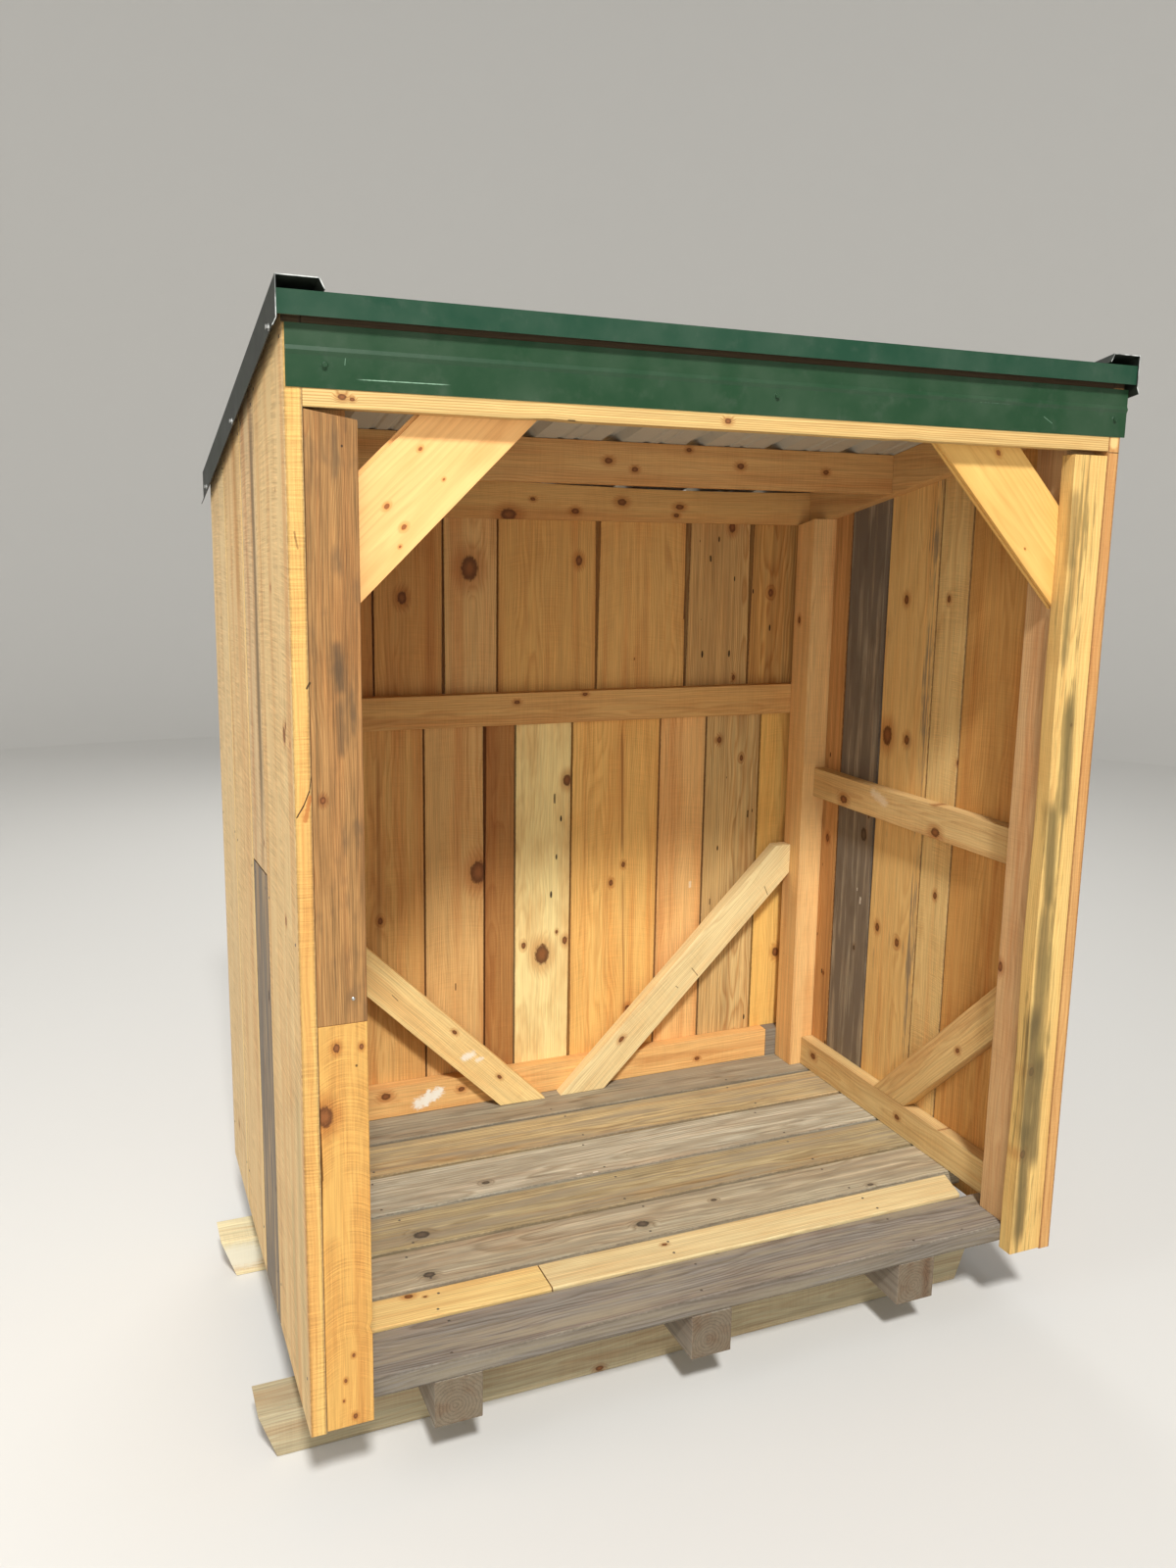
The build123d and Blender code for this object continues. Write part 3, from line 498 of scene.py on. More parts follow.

# Cracks, nail holes, smears and bands of painted shade: tone, start and end in mm, half width in mm, strength and
# raggedness
timberMarks = [
    ("#33200F", (-818, -591, 1428), (-822, -591, 1402), 0.9, 0.95, 0.1),
    ("#33200F", (-822, -591, 1402), (-832, -591, 1378), 1.4, 0.95, 0.2),
    ("#33200F", (-832, -591, 1378), (-844, -591, 1358), 1.6, 0.95, 0.2),
    ("#A8622C", (-821, -591, 1392), (-830, -591, 1352), 3.5, 0.75, 0.6),
    ("#33200F", (-817, -591, 1586), (-822, -591, 1577), 2.0, 0.9, 0.2),
    ("#6E4A24", (-836, -591, 1832), (-831, -591, 1806), 1.6, 0.6, 0.5),
    ("#2A1A0E", (-756, -591, 1972), (-756, -591, 1971), 2.2, 0.9, 0.1),
    ("#4A3B2A", (-772, -591, 1660), (-764, -591, 1560), 7.0, 0.6, 0.9),
    ("#4A3B2A", (-768, -591, 1560), (-766, -591, 1450), 5.0, 0.5, 0.9),
    ("#2A1A0E", (-751, -591, 900), (-751, -591, 899), 2.6, 0.8, 0.1),
    ("#4E2C10", (-817, -591, 780), (-815, -591, 690), 1.5, 0.7, 0.3),
    ("#2A1A0E", (-360, -591, 2031), (-349, -591, 2031), 2.4, 0.9, 0.2),
    ("#6B4420", (360, -591, 2031), (368, -591, 2031), 1.6, 0.7, 0.2),
    ("#2E1C0E", (57, 536, 1118), (57, 536, 1094), 2.6, 0.9, 0.3),
    ("#2E1C0E", (-236, 536, 592), (-236, 536, 574), 1.8, 0.85, 0.3),
    ("#2E1C0E", (531, 536, 1788), (532, 536, 1776), 3.2, 0.9, 0.3),
    ("#2E1C0E", (566, 536, 760), (566, 536, 744), 2.0, 0.8, 0.3),
    ("#2E1C0E", (687, 536, 1026), (687, 536, 1008), 2.6, 0.85, 0.3),
    ("#7A3E1C", (262, 536, 1320), (272, 536, 900), 3.0, 0.55, 0.8),
    ("#7A3E1C", (272, 536, 900), (290, 536, 330), 2.6, 0.45, 0.8),
    ("#7E4A24", (-448, 536, 1320), (-452, 536, 600), 4.0, 0.35, 0.9),
    ("#2E1C0E", (452, 536, 1700), (450, 536, 1610), 1.6, 0.8, 0.5),
    ("#5E3A1C", (472, 460, 577), (492, 460, 552), 1.6, 0.75, 0.2),
    ("#5E3A1C", (711, 460, 806), (723, 460, 780), 1.6, 0.75, 0.2),
    ("#4A2E16", (428, 460, 521), (421, 460, 527), 1.2, 0.8, 0.3),
    ("#2A1A0E", (-436, 460, 612), (-420, 460, 594), 1.0, 0.8, 0.2),
    ("#F6F0E2", (-232, 460, 402), (-212, 460, 408), 7.0, 0.8, 1.2),
    ("#F6F0E2", (-196, 460, 388), (-182, 460, 392), 4.0, 0.6, 1.2),
    ("#F4EEDF", (-356, 498, 268), (-300, 498, 292), 9.0, 0.75, 1.4),
    ("#F4EEDF", (-334, 498, 262), (-326, 498, 300), 4.0, 0.8, 1.4),
    ("#F4EEDF", (-312, 498, 276), (-290, 498, 300), 4.0, 0.8, 1.4),
    ("#E9DCC0", (834, 112, 1156), (834, 60, 1140), 8.0, 0.45, 1.4),
    ("#E4DCCB", (872, 197, 828), (872, 198, 812), 2.6, 0.8, 0.9),
    ("#E4DCCB", (872, 215, 852), (872, 215, 846), 1.6, 0.8, 0.6),
    ("#F0E2C4", (497, 536, 819), (497, 536, 806), 3.0, 0.6, 1.2),
    ("#2A1A0E", (730, -553, 357), (730, -553, 356), 2.0, 0.9, 0.1),
    ("#2A1A0E", (732, -553, 309), (732, -553, 308), 2.4, 0.9, 0.1),
    ("#2A1A0E", (761, -553, 280), (761, -553, 279), 2.4, 0.9, 0.1),
    ("#2A1A0E", (770, -553, 1162), (770, -553, 1161), 1.8, 0.9, 0.1),
    ("#2A1A0E", (728, -553, 1030), (728, -553, 1029), 1.8, 0.9, 0.1),
    ("#2A1A0E", (744, -553, 795), (744, -553, 794), 1.8, 0.9, 0.1),
    ("#5E5549", (-742, -553, 216), (796, -553, 216), 27, 0.25, 0.12),
    ("#D9D2BC", (-922, 268, 52), (-850, 268, 50), 34, 0.9, 0.35),
    ("#DCBB7C", (886, -593, 2046), (886, -593, 2110), 13, 0.9, 0.05),
    ("#33240F", (872, -591, 2028), (902, -591, 2028), 1.3, 0.9, 0.1),
    ("#6F5C36", (792, -591, 1960), (796, -591, 1770), 8, 0.55, 1.0),
    ("#7A663B", (802, -591, 1830), (798, -591, 1560), 8, 0.5, 1.0),
    ("#665632", (826, -591, 1530), (836, -591, 1215), 10, 0.75, 1.0),
    ("#665632", (798, -591, 1290), (815, -591, 1010), 11, 0.8, 1.0),
    ("#6F5C36", (806, -591, 1060), (808, -591, 700), 12, 0.8, 1.0),
    ("#7A663B", (824, -591, 960), (826, -591, 580), 9, 0.55, 1.0),
    ("#5E4F30", (800, -591, 820), (802, -591, 440), 13, 0.85, 1.0),
    ("#5E4F30", (824, -591, 700), (829, -591, 380), 11, 0.8, 1.0),
    ("#5E4F30", (800, -591, 530), (807, -591, 190), 12, 0.8, 1.0),
    # the next two: dark bands across the tops of the siding strips, painted shade under the roof's edge
    ("#231B10", (-848, -591, 2164), (-812, -591, 2164), 9, 0.95, 0.0),
    ("#231B10", (870, -591, 2166), (902, -591, 2166), 9, 0.95, 0.0),
    ("#6E5B40", (-848, -196, 2120), (-848, -196, 1240), 17, 0.8, 0.85),
    ("#7C684A", (-848, -190, 1700), (-848, -184, 1130), 12, 0.45, 0.9),
    ("#A87C42", (-848, 60, 2060), (-848, 66, 1640), 24, 0.45, 0.9),
    ("#9C8E68", (-848, -540, 900), (-848, -548, 190), 20, 0.4, 0.9),
    ("#98855C", (-848, -450, 640), (-848, -446, 180), 14, 0.4, 0.9),
    ("#F6CE80", (-848, -22, 2060), (-848, -22, 200), 6.0, 0.6, 0.1),
    ("#F6CE80", (-848, 278, 2000), (-848, 278, 200), 6.0, 0.6, 0.1),
    ("#E8E0CC", (-66, 26, 240), (-56, 26, 240), 2.4, 0.9, 0.5),
    ("#E8E0CC", (-24, 21, 240), (-14, 21, 240), 2.4, 0.9, 0.5),
]

# Waney and chipped edges: x, y, z in mm, how far along the edge they reach and how deep they go
edgeLosses = [
    (176, 536, 1955, 620, 5.0), (456, 536, 1955, 700, 6.0), (668, 536, 1955, 560, 5.0), (-266, 536, 1500, 300, 2.0),
    (-152, 536, 1250, 420, 2.5), (106, 536, 300, 520, 2.0), (-740, -591, 381, 15, 4.5), (-820, -591, 700, 160, 2.0),
    (784, -591, 1250, 260, 4.0), (784, -591, 620, 330, 5.0), (784, -591, 1800, 160, 3.0), (872, 152, 1150, 500, 3.0),
    (-400, -591, 2030, 60, 2.0), (366, -591, 2030, 40, 2.0), (0, -553, 200, 260, 3.0), (-300, -553, 200, 160, 2.5),
]

woodMaterials = {name: emptyMaterial(name) for name in woods}
woodKnots = {name: [] for name in woods}
woodMarks = {name: [] for name in woods}


def islandsOf(bm):
    left = set(bm.verts)
    while left:
        found = [left.pop()]
        for vert in found:
            for edge in vert.link_edges:
                other = edge.other_vert(vert)
                if other in left:
                    left.remove(other)
                    found.append(other)
        yield found


def boardAxes(points, along):
    # The grain's direction, then the board's width, then its thickness
    spans = [max(p[i] for p in points) - min(p[i] for p in points) for i in range(3)]
    units = [Vector(row) for row in Matrix.Identity(3)]
    axes = [units[k] for k in sorted(range(3), key=lambda i: -spans[i])]
    if along:
        axes[0] = Vector(along).normalized()
        axes[2] = min(units, key=lambda axis: abs(axis.dot(axes[0])))
        axes[1] = axes[2].cross(axes[0])
    return axes


timberDress = {
    "weld": 0.02 * mm,
    "flat": 0.01,  # radians by which two faces may differ and still be one
    "arris": 1.5 * mm,  # how far each sawn edge is eased
    "arrisSteps": 2,
    "cutEvery": 60 * mm,  # spacing of the cross cuts that let an edge waver
    "lossCuts": (-1, -0.5, 0, 0.5, 1),  # where a chipped place is cut, as shares of its reach
    "wander": 1.3 * mm,  # how far an edge may wander inwards
    "wavers": ((4, 0, 0.65), (25, 3, 0.35)),  # changes per metre, level in the noise, and share of the wander
    "sideApart": 7,  # how far apart a board's two edges lie in the noise
    "seeds": 50,
    "heartAlong": 40,
    "heartAcross": 0.12,
    "heartDepth": (0.04, 0.13),
    "tintVaries": (0.96, 1.03),
    "endFacing": 0.75,  # a face that looks this much along the grain is a cut end
    "nearby": 6 * mm,
    "farWaver": 1.0,  # how much of the waver reaches the board's far face
}


def holds(box, point, margin):
    low, high = box
    return all(low[i] - margin < point[i] < high[i] + margin for i in range(3))


def takeMarks(wood, box, local, middle, heart, near):
    # Gives the wood this board's knots and marks, and returns the board's own edge losses
    for *place, radius in knotPlaces:
        if holds(box, Vector(place) * mm, near):
            spot = local @ (Vector(place) * mm - middle) + heart
            woodKnots[wood].append((spot.x, spot.y, radius))
    for mark in timberMarks:
        if holds(box, (Vector(mark[1]) + Vector(mark[2])) / 2 * mm, near):
            woodMarks[wood].append(mark)
    losses = []
    for *place, reach, depth in edgeLosses:
        if holds(box, Vector(place) * mm, near):
            spot = local @ (Vector(place) * mm - middle)
            losses.append((spot.x, math.copysign(1, spot.y), reach * mm, depth * mm))
    return losses


def cutBoard(board, dress, middle, axis, half, losses):
    # Eases the edges and cuts the board across, so that its edges can waver
    bmesh.ops.bevel(board, geom=board.edges[:], offset=dress["arris"], segments=dress["arrisSteps"], profile=0.5,
                    affect="EDGES", material=-1, clamp_overlap=True)
    count = max(2, round(2 * half / dress["cutEvery"]))
    cuts = [(2 * i / count - 1) * half for i in range(1, count)]
    for centre, _, reach, _ in losses:
        cuts += [centre + reach * share for share in dress["lossCuts"]]
    for cut in cuts:
        if abs(cut) < half - 2 * dress["arris"]:
            bmesh.ops.bisect_plane(board, geom=board.verts[:] + board.edges[:] + board.faces[:],
                                   plane_co=middle + axis * cut, plane_no=axis)
    board.normal_update()


def inwardAt(place, side, losses, seed, dress):
    # How far the edge on this side lies inside its straight line
    inward = 0
    for pace, level, share in dress["wavers"]:
        wave = noise.noise(Vector((place * pace + seed, side * dress["sideApart"], level))) * 0.5 + 0.5
        inward += share * wave
    inward *= dress["wander"]
    for centre, lossSide, reach, depth in losses:
        if side == lossSide and abs(place - centre) < reach:
            inward += depth * (0.5 + 0.5 * math.cos(math.pi * (place - centre) / reach))
    return inward


def dressTimber(node, boards, along=None, **changes):
    # boards lists each solid's wood and tint, and where its heart lies if that matters, in order of place
    dress = {**timberDress, **changes}
    merged = bmesh.new()
    merged.from_mesh(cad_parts[node].data)
    bmesh.ops.remove_doubles(merged, verts=merged.verts[:], dist=dress["weld"])
    bmesh.ops.dissolve_limit(merged, angle_limit=dress["flat"], verts=merged.verts[:], edges=merged.edges[:])
    merged.verts.index_update()
    groups = []
    for found in islandsOf(merged):
        middle = sum((v.co for v in found), Vector()) / len(found)
        groups.append((round(middle.x, 2), round(middle.y, 2), middle.z, {v.index for v in found}))
    groups.sort(key=lambda group: group[:3])
    single = bpy.data.meshes.new("single")
    whole = bmesh.new()
    boxes = []
    used = []
    for (*_, kept), (wood, tone, *heartPlace) in zip(groups, boards):
        board = merged.copy()
        board.verts.index_update()
        bmesh.ops.delete(board, geom=[v for v in board.verts if v.index not in kept], context="VERTS")
        points = [v.co.copy() for v in board.verts]
        low, high = [Vector([end(p[i] for p in points) for i in range(3)]) for end in (min, max)]
        middle = (low + high) / 2
        axes = boardAxes(points, along)
        local = Matrix(axes)
        span = Vector([max(abs(a.dot(p - middle)) for p in points) for a in axes])
        heart = Vector((dice.uniform(0, dress["heartAlong"]), dice.uniform(-1, 1) * dress["heartAcross"],
                        dice.uniform(*dress["heartDepth"])))
        if heartPlace:
            heart.yz = heartPlace[0]
        losses = takeMarks(wood, (low, high), local, middle, heart, dress["nearby"])
        cutBoard(board, dress, middle, axes[0], span.x, losses)
        spotLayer, heartLayer, spanLayer = [board.verts.layers.float_vector.new(name)
                                            for name in ("boardSpot", "boardHeart", "boardSpan")]
        tintLayer = board.verts.layers.float_color.new("boardTint")
        endLayer = board.faces.layers.float.new("endGrain")
        seed = dice.uniform(0, dress["seeds"])
        vary = dice.uniform(*dress["tintVaries"])
        tint = [min(1.0, c * vary) for c in linear(tone)[:3]] + [1.0]
        if wood not in used:
            used.append(wood)
        for face in board.faces:
            face.material_index = used.index(wood)
            face[endLayer] = float(abs(face.normal.dot(axes[0])) > dress["endFacing"])
        for vert in board.verts:
            spot = local @ (vert.co - middle)
            vert[spotLayer] = spot
            vert[heartLayer] = heart
            vert[spanLayer] = span
            vert[tintLayer] = tint
            side = math.copysign(1, spot.y)
            inward = inwardAt(spot.x, side, losses, seed, dress)
            depth = 0.5 + 0.5 * spot.z / span.z
            vert.co -= axes[1] * side * inward * abs(spot.y) / span.y * (1 + depth * (dress["farWaver"] - 1))
        board.to_mesh(single)
        board.free()
        whole.from_mesh(single)
        boxes.append((low, high))
    merged.free()
    bpy.data.meshes.remove(single)
    words = node.split("_")
    piece = addObject(words[0] + "".join(word.capitalize() for word in words[1:]),
                      meshOf(whole, node, [woodMaterials[wood] for wood in used]))
    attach(piece, "root")
    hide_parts(node)
    return boxes


framing = {  # each beam's tint, and where its heart lies in metres across and through it
    "front_left_post": ("#D8A768", (0.06, 0.05)),
    "front_right_post": ("#C9A373", (0.02, 0.10)),
    "rear_left_post": ("#D8AC6C", (0.05, 0.06)),
    "rear_right_post": ("#F0C483", (0.08, 0.05)),
    "left_bottom_plate": ("#DCAB68", (0.10, 0.03)),
    "right_bottom_plate": ("#DDC187", (0.01, 0.07)),
    "back_bottom_plate": ("#EDBD79", (0.00, 0.06)),
    "left_mid_girt": ("#D9A968", (0.09, 0.04)),
    "right_mid_girt": ("#D8B87E", (0.00, 0.05)),
    "back_mid_girt": ("#D6A868", (0.01, 0.06)),
    "back_top_girt": ("#DCAE6C", (0.10, 0.05)),
    "left_rafter": ("#DAB074", (0.08, 0.06)),
    "right_rafter": ("#DAB074", (0.02, 0.06)),
    "purlin": ("#D9AA6C", (0.09, 0.06)),
    # the batten's tint is nearly black: painted shade in the gap between the fascia and the eave trim
    "front_batten": ("#40331F", (0.05, 0.05)),
}
for node, (tint, heart) in framing.items():
    dressTimber(node, [("sawnFramingPine", tint, heart)])
dressTimber("back_plate_block", [("weatheredJoist", "#8F8676")])
dressTimber("header_beam", [("planedHeaderPine", "#D5B879", (0.20, 0.02))])
print("framing dressed")

braces = {  # wood, tint and the way it slants
    "back_brace_left": ("sawnFramingPine", "#F3D492", (1, 0, -1)),
    "back_brace_right": ("sawnFramingPine", "#F2DCA4", (1, 0, 1)),
    "left_wall_brace": ("sawnFramingPine", "#DDB270", (0, 1, -1)),
    "right_wall_brace": ("sawnFramingPine", "#DDBD81", (0, 1, -1)),
    "corner_brace_left": ("tongueAndGroovePine", "#F1BD7A", (1, 0, 1)),
    "corner_brace_right": ("tongueAndGroovePine", "#E3B769", (1, 0, -1)),
}
braceHeart = (0.03, 0.07)
braceDress = {
    "sawnFramingPine": {"wander": 1 * mm},
    "tongueAndGroovePine": {"arris": 0.6 * mm, "wander": 0.0},
}
for node, (wood, tint, along) in braces.items():
    dressTimber(node, [(wood, tint, braceHeart)], along=along, **braceDress[wood])
print("braces dressed")

faceBoards = {
    "face_board_left_upper": ("stainedFaceBoard", "#A27A4A", (0.05, 0.06)),
    "face_board_left_lower": ("featheredFaceBoard", "#D2A258", (0.03, 0.09)),
    "face_board_right": ("mouldStreakedFaceBoard", "#DCB871", (0.02, 0.10)),
}
for node, board in faceBoards.items():
    dressTimber(node, [board])


def boardsOf(usual, tints, others=None):
    return [((others or {}).get(place, usual), tint) for place, tint in enumerate(tints)]


# Rows of boards: the usual wood, the tint of each board in order of place, and the boards of another wood
deckBoards = {
    "deck_front_board": ("weatheredDeckBoard", ["#918A80"]),
    "deck_light_board_left": ("newDeckBoard", ["#F2D690"]),
    "deck_light_board_right": ("newDeckBoard", ["#E5D29E"]),
    "deck_boards": ("weatheredDeckBoard", ["#C1B69B", "#C0AF86", "#CCC6B0", "#CFBA8C", "#ABA28B"]),
}
deckBoxes = []
for node, row in deckBoards.items():
    deckBoxes += dressTimber(node, boardsOf(*row))
print("deck dressed")

sidingBoards = {
    "left_wall_boards": ("roughOuterPine", ["#E4BC70", "#B49C78", "#D6B078", "#E8BE74", "#EAC888"],
                         {1: "greyWeatheredPlank"}),
    "right_wall_boards": ("roughInnerPine", ["#D9A768", "#D2A05C", "#E8C786", "#EAC47F", "#AAA18C", "#D2A064"],
                          {0: "brownInnerPine", 2: "speckledInnerPine", 3: "blueStainedPine",
                           4: "greyWeatheredPlank", 5: "stainedStreakPine"}),
    "back_boards_upper": ("roughInnerPine", ["#CF9A58", "#CF9A58", "#CC9858", "#DDB274", "#D8A862", "#DDAE68",
                                             "#D0A86C", "#D0A05C"], {6: "stainedStreakPine", 7: "stainedStreakPine"}),
    "back_boards_lower": ("roughInnerPine", ["#DBAA68", "#DBAA68", "#DDAE6A", "#E0B474", "#B27F47", "#F7DF9C",
                                             "#EFBF70", "#EFBF7C", "#D9B87C", "#F0C26D"],
                          {5: "paleKnottyPine", 8: "stainedStreakPine"}),
}
boardBoxes = {node: dressTimber(node, boardsOf(*row), farWaver=0.0) for node, row in sidingBoards.items()}
print("boards dressed")

base = {"front_skid": "#B4A888", "rear_skid": "#E4D9B0", "joist_left": "#978D7D", "joist_middle": "#93897A",
        "joist_right": "#968B7B"}
baseHeart = (0.008, 0.012)  # near the middle, so the cut ends show whole rings
for node, tint in base.items():
    kind = "roughSkidTimber" if "skid" in node else "weatheredJoist"
    dressTimber(node, [(kind, tint, baseHeart)])
print("skids and joists dressed")

for name, changes in woods.items():
    fillTimber(woodMaterials[name], {**timberLook, **changes}, woodKnots[name], woodMarks[name])
print("timber materials ready")

# Steel with baked paint: satin green outside, a pale backing coat under the sheet, and bare zinc on the cut ends
# of the rake trims. Each finish: material, outer tone, tone underneath and roughness
steelFinish = {
    # dark satin green: one clean, still band over the opening
    "fascia_trim": ("bakedGreenPaintFascia", "#1D3D25", "#28462F", 0.42),
    # the same paint tinted a little bluer: painted sky reflection on the thin edge above the band
    "eave_trim": ("bakedGreenPaintEaveSkyTint", "#1A3E2C", "#2F5140", 0.40),
    # the trims' green darkened to almost black: painted shade on the rakes, the roof's dark outline at both ends
    "rake_trim_left": ("bakedGreenPaintRakeInShade", "#171C16", "#1A1F19", 0.5),
    "rake_trim_right": ("bakedGreenPaintRakeInShade", "#171C16", "#1A1F19", 0.5),
    # lighter dusty green above, and a stone-coloured coat that brightens the roof from inside
    "roof_sheet": ("bakedGreenPaintSheet", "#2C4936", "#B5AF9F", 0.45),
}
steelMarks = [  # scratches: tone, start and end in mm, half width in mm, strength and raggedness
    ("#8FB096", (-733, -592.5, 2077), (-569, -592.5, 2078), 0.6, 0.8, 0.8),
    ("#7E9E86", (-749, -592.5, 2098), (-748, -592.5, 2108), 0.6, 0.5, 0.6),
    ("#7E9E86", (524, -592.5, 2112), (600, -592.5, 2112), 0.6, 0.35, 0.9),
    ("#7E9E86", (690, -592.5, 2092), (712, -592.5, 2080), 0.6, 0.4, 0.8),
]
steelLook = {
    "sizes": {"dust": 150, "grime": 34, "dimple": 420, "speck": 6},  # mm
    "under": {1: -0.25, 2: -0.45},  # how far a face looks down before it counts as underneath
    "dust": ("#9AA08E", {1: 0.42, 2: 0.9, 4: 0.10}),
    "grime": ("#5B6257", {1: 0.55, 2: 0.85, 4: 0.25}),
    "zinc": ("#D9DCD8", {1: 0.42, 2: 0.58, 3: 0.2, 4: 0.9}),
    "cutEnd": {1: 0.85, 2: 0.95, 4: 1.0},  # how far a face looks along the trim before it counts as a cut end
    "glossFrom": {1: 0.3, 2: 0.7},
    "gloss": (-0.06, 0.10),  # what clean and dusty places change in the roughness
    "dimples": 12.0,  # height of the broad dimples in specks
    "bump": 0.12,
    "bumpHeight": 0.5 * mm,
}


def paintedSteel(name, top, under, roughness, zincEnds=False):
    material = emptyMaterial(name)
    tree = material.node_tree
    place = addNode(tree, "TexCoord", give="Object")
    facing = addNode(tree, "NewGeometry", give="Normal")
    facing = addNode(tree, "SeparateXYZ", {0: facing}, give=None)
    isUnder = addNode(tree, "MapRange", {"Value": facing.outputs["Z"], **steelLook["under"]})
    patterns = {}
    for pattern, size in steelLook["sizes"].items():
        patterns[pattern] = addNode(tree, "TexNoise", {"Vector": place, "Scale": 1000 / size, "Detail": 4.0,
                                    "Roughness": 0.6}, give="Fac")
    layers = [(isUnder, under, "MIX")]
    for pattern in ("dust", "grime"):
        tone, shows = steelLook[pattern]
        layers.append((addNode(tree, "MapRange", {"Value": patterns[pattern], **shows}), tone, "MIX"))
    for tone, *mark in steelMarks:
        layers.append((markShare(tree, place, mark, patterns["speck"]), tone, "MIX"))
    if zincEnds:
        tone, shows = steelLook["zinc"]
        endOn = addNode(tree, "Math", {0: facing.outputs["Y"]}, operation="ABSOLUTE")
        endOn = addNode(tree, "MapRange", {"Value": endOn, **steelLook["cutEnd"]})
        worn = addNode(tree, "MapRange", {"Value": patterns["grime"], **shows})
        endOn = addNode(tree, "Math", {0: endOn, 1: worn}, operation="MULTIPLY")
        layers.append((endOn, tone, "MIX"))
    colour = layTones(tree, linear(top), layers)
    clean, dusty = steelLook["gloss"]
    gloss = addNode(tree, "MapRange", {"Value": patterns["dust"], **steelLook["glossFrom"], 3: roughness + clean,
                    4: roughness + dusty})
    height = addNode(tree, "Math", {0: patterns["dimple"], 1: steelLook["dimples"], 2: patterns["speck"]},
                     operation="MULTIPLY_ADD")
    bump = addNode(tree, "Bump", {"Strength": steelLook["bump"], "Distance": steelLook["bumpHeight"],
                   "Height": height})
    shader = addNode(tree, "BsdfPrincipled", {"Base Color": colour, "Roughness": gloss, "IOR": 1.5,
                     "Specular IOR Level": 0.22, "Coat Weight": 0.05, "Coat Roughness": 0.3, "Normal": bump})
    addNode(tree, "OutputMaterial", {"Surface": shader})
    return material


paints = {}
for node, finish in steelFinish.items():
    if finish[0] not in paints:
        paints[finish[0]] = paintedSteel(*finish, zincEnds="rake" in node)
    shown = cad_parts[node]
    shown.data.materials.clear()
    shown.data.materials.append(paints[finish[0]])
print("steel painted")

metals = {  # tone, how metallic and how rough
    # zinc plating gone slightly cloudy: small pale grey glints
    "zincPlatedSteel": ("#B9BAB6", 0.9, 0.42),
    # driven nails that have dulled: small dark brown-grey dots with little shine
    "dullNailSteel": ("#6E675E", 0.7, 0.55),
}
metalDull = {"tone": "#3C342C", "size": 2.5, "shows": {1: 0.4, 2: 0.7, 4: 0.5}}  # size in mm


def plainMetal(name, tone, metallic, roughness):
    material = emptyMaterial(name)
    tree = material.node_tree
    place = addNode(tree, "TexCoord", give="Object")
    cloud = addNode(tree, "TexNoise", {"Vector": place, "Scale": 1000 / metalDull["size"], "Detail": 3.0}, give="Fac")
    dull = addNode(tree, "MapRange", {"Value": cloud, **metalDull["shows"]})
    colour = layTones(tree, linear(tone), [(dull, metalDull["tone"], "MIX")])
    shader = addNode(tree, "BsdfPrincipled", {"Base Color": colour, "Metallic": metallic, "Roughness": roughness})
    addNode(tree, "OutputMaterial", {"Surface": shader})
    return material


# Fasteners: hex washer-head roofing screws and driven nails, lengths in mm
roofScrew = {"flange": 6.5, "flangeTop": 5.2, "flangeHeight": 1.3, "flangeSides": 20, "head": 4.6, "headHeight": 4.2,
             "headSides": 6, "ease": 0.5, "easeSteps": 2}
nailHead = {"radius": 3.3, "crown": 2.4, "height": 0.7, "sides": 10}
roofPlane = {"height": 2200.5, "slope": 0.2, "front": -591}  # the pans' underside, and where it has this height
trimScrews = {
    "fascia": [(-782, -592.5, 2096), (55, -592.5, 2096), (879, -592.5, 2096)],
    "rakeDepths": (-541, -21, 527),
    "rakeUp": 22,  # above the leg's foot
    "legFoot": -57,  # from the pans' underside
    "kick": 6,  # how far the leg's folded foot stands out
}
sheetScrews = {
    "ribs": 8,
    "besideRib": 38,
    "depths": (-560, 125, 517),
    "sheetTop": 1.5,  # above the pans' underside
}
deckNails = {"rows": (-552, 11, 546), "inset": 24, "stray": (22, 5)}
wallNails = {
    "walls": {  # the axis across the boards, the axis out of them, and to which side they are nailed
        "left_wall_boards": (1, 0, -1),
        "right_wall_boards": (1, 0, 1),
        "back_boards_upper": (0, 1, 1),
        "back_boards_lower": (0, 1, 1),
    },
    "plate": 284,
    "roofDrop": 50,  # below the pans
    "between": {0: [1131], 1: [1350, 1396]},  # heights on the side walls and on the back
    "inset": 26,
    "ends": 10,  # no nail nearer than this to a board's end
    "stray": 6,
    "strayUp": 7,
}
faceBoardScrew = (-754, -591, 1025)


def pansUnder(y):
    return roofPlane["height"] - roofPlane["slope"] * (y - roofPlane["front"])


def standing(place, axis):
    return Matrix.Translation(Vector(place) * mm) @ Vector(axis).to_track_quat("Z", "Y").to_matrix().to_4x4()


def addDisc(bm, base, start, height, sides, bottom, top):
    return bmesh.ops.create_cone(bm, cap_ends=True, segments=sides, radius1=bottom, radius2=top, depth=height,
                                 matrix=base @ Matrix.Translation((0, 0, start + height / 2)))["verts"]


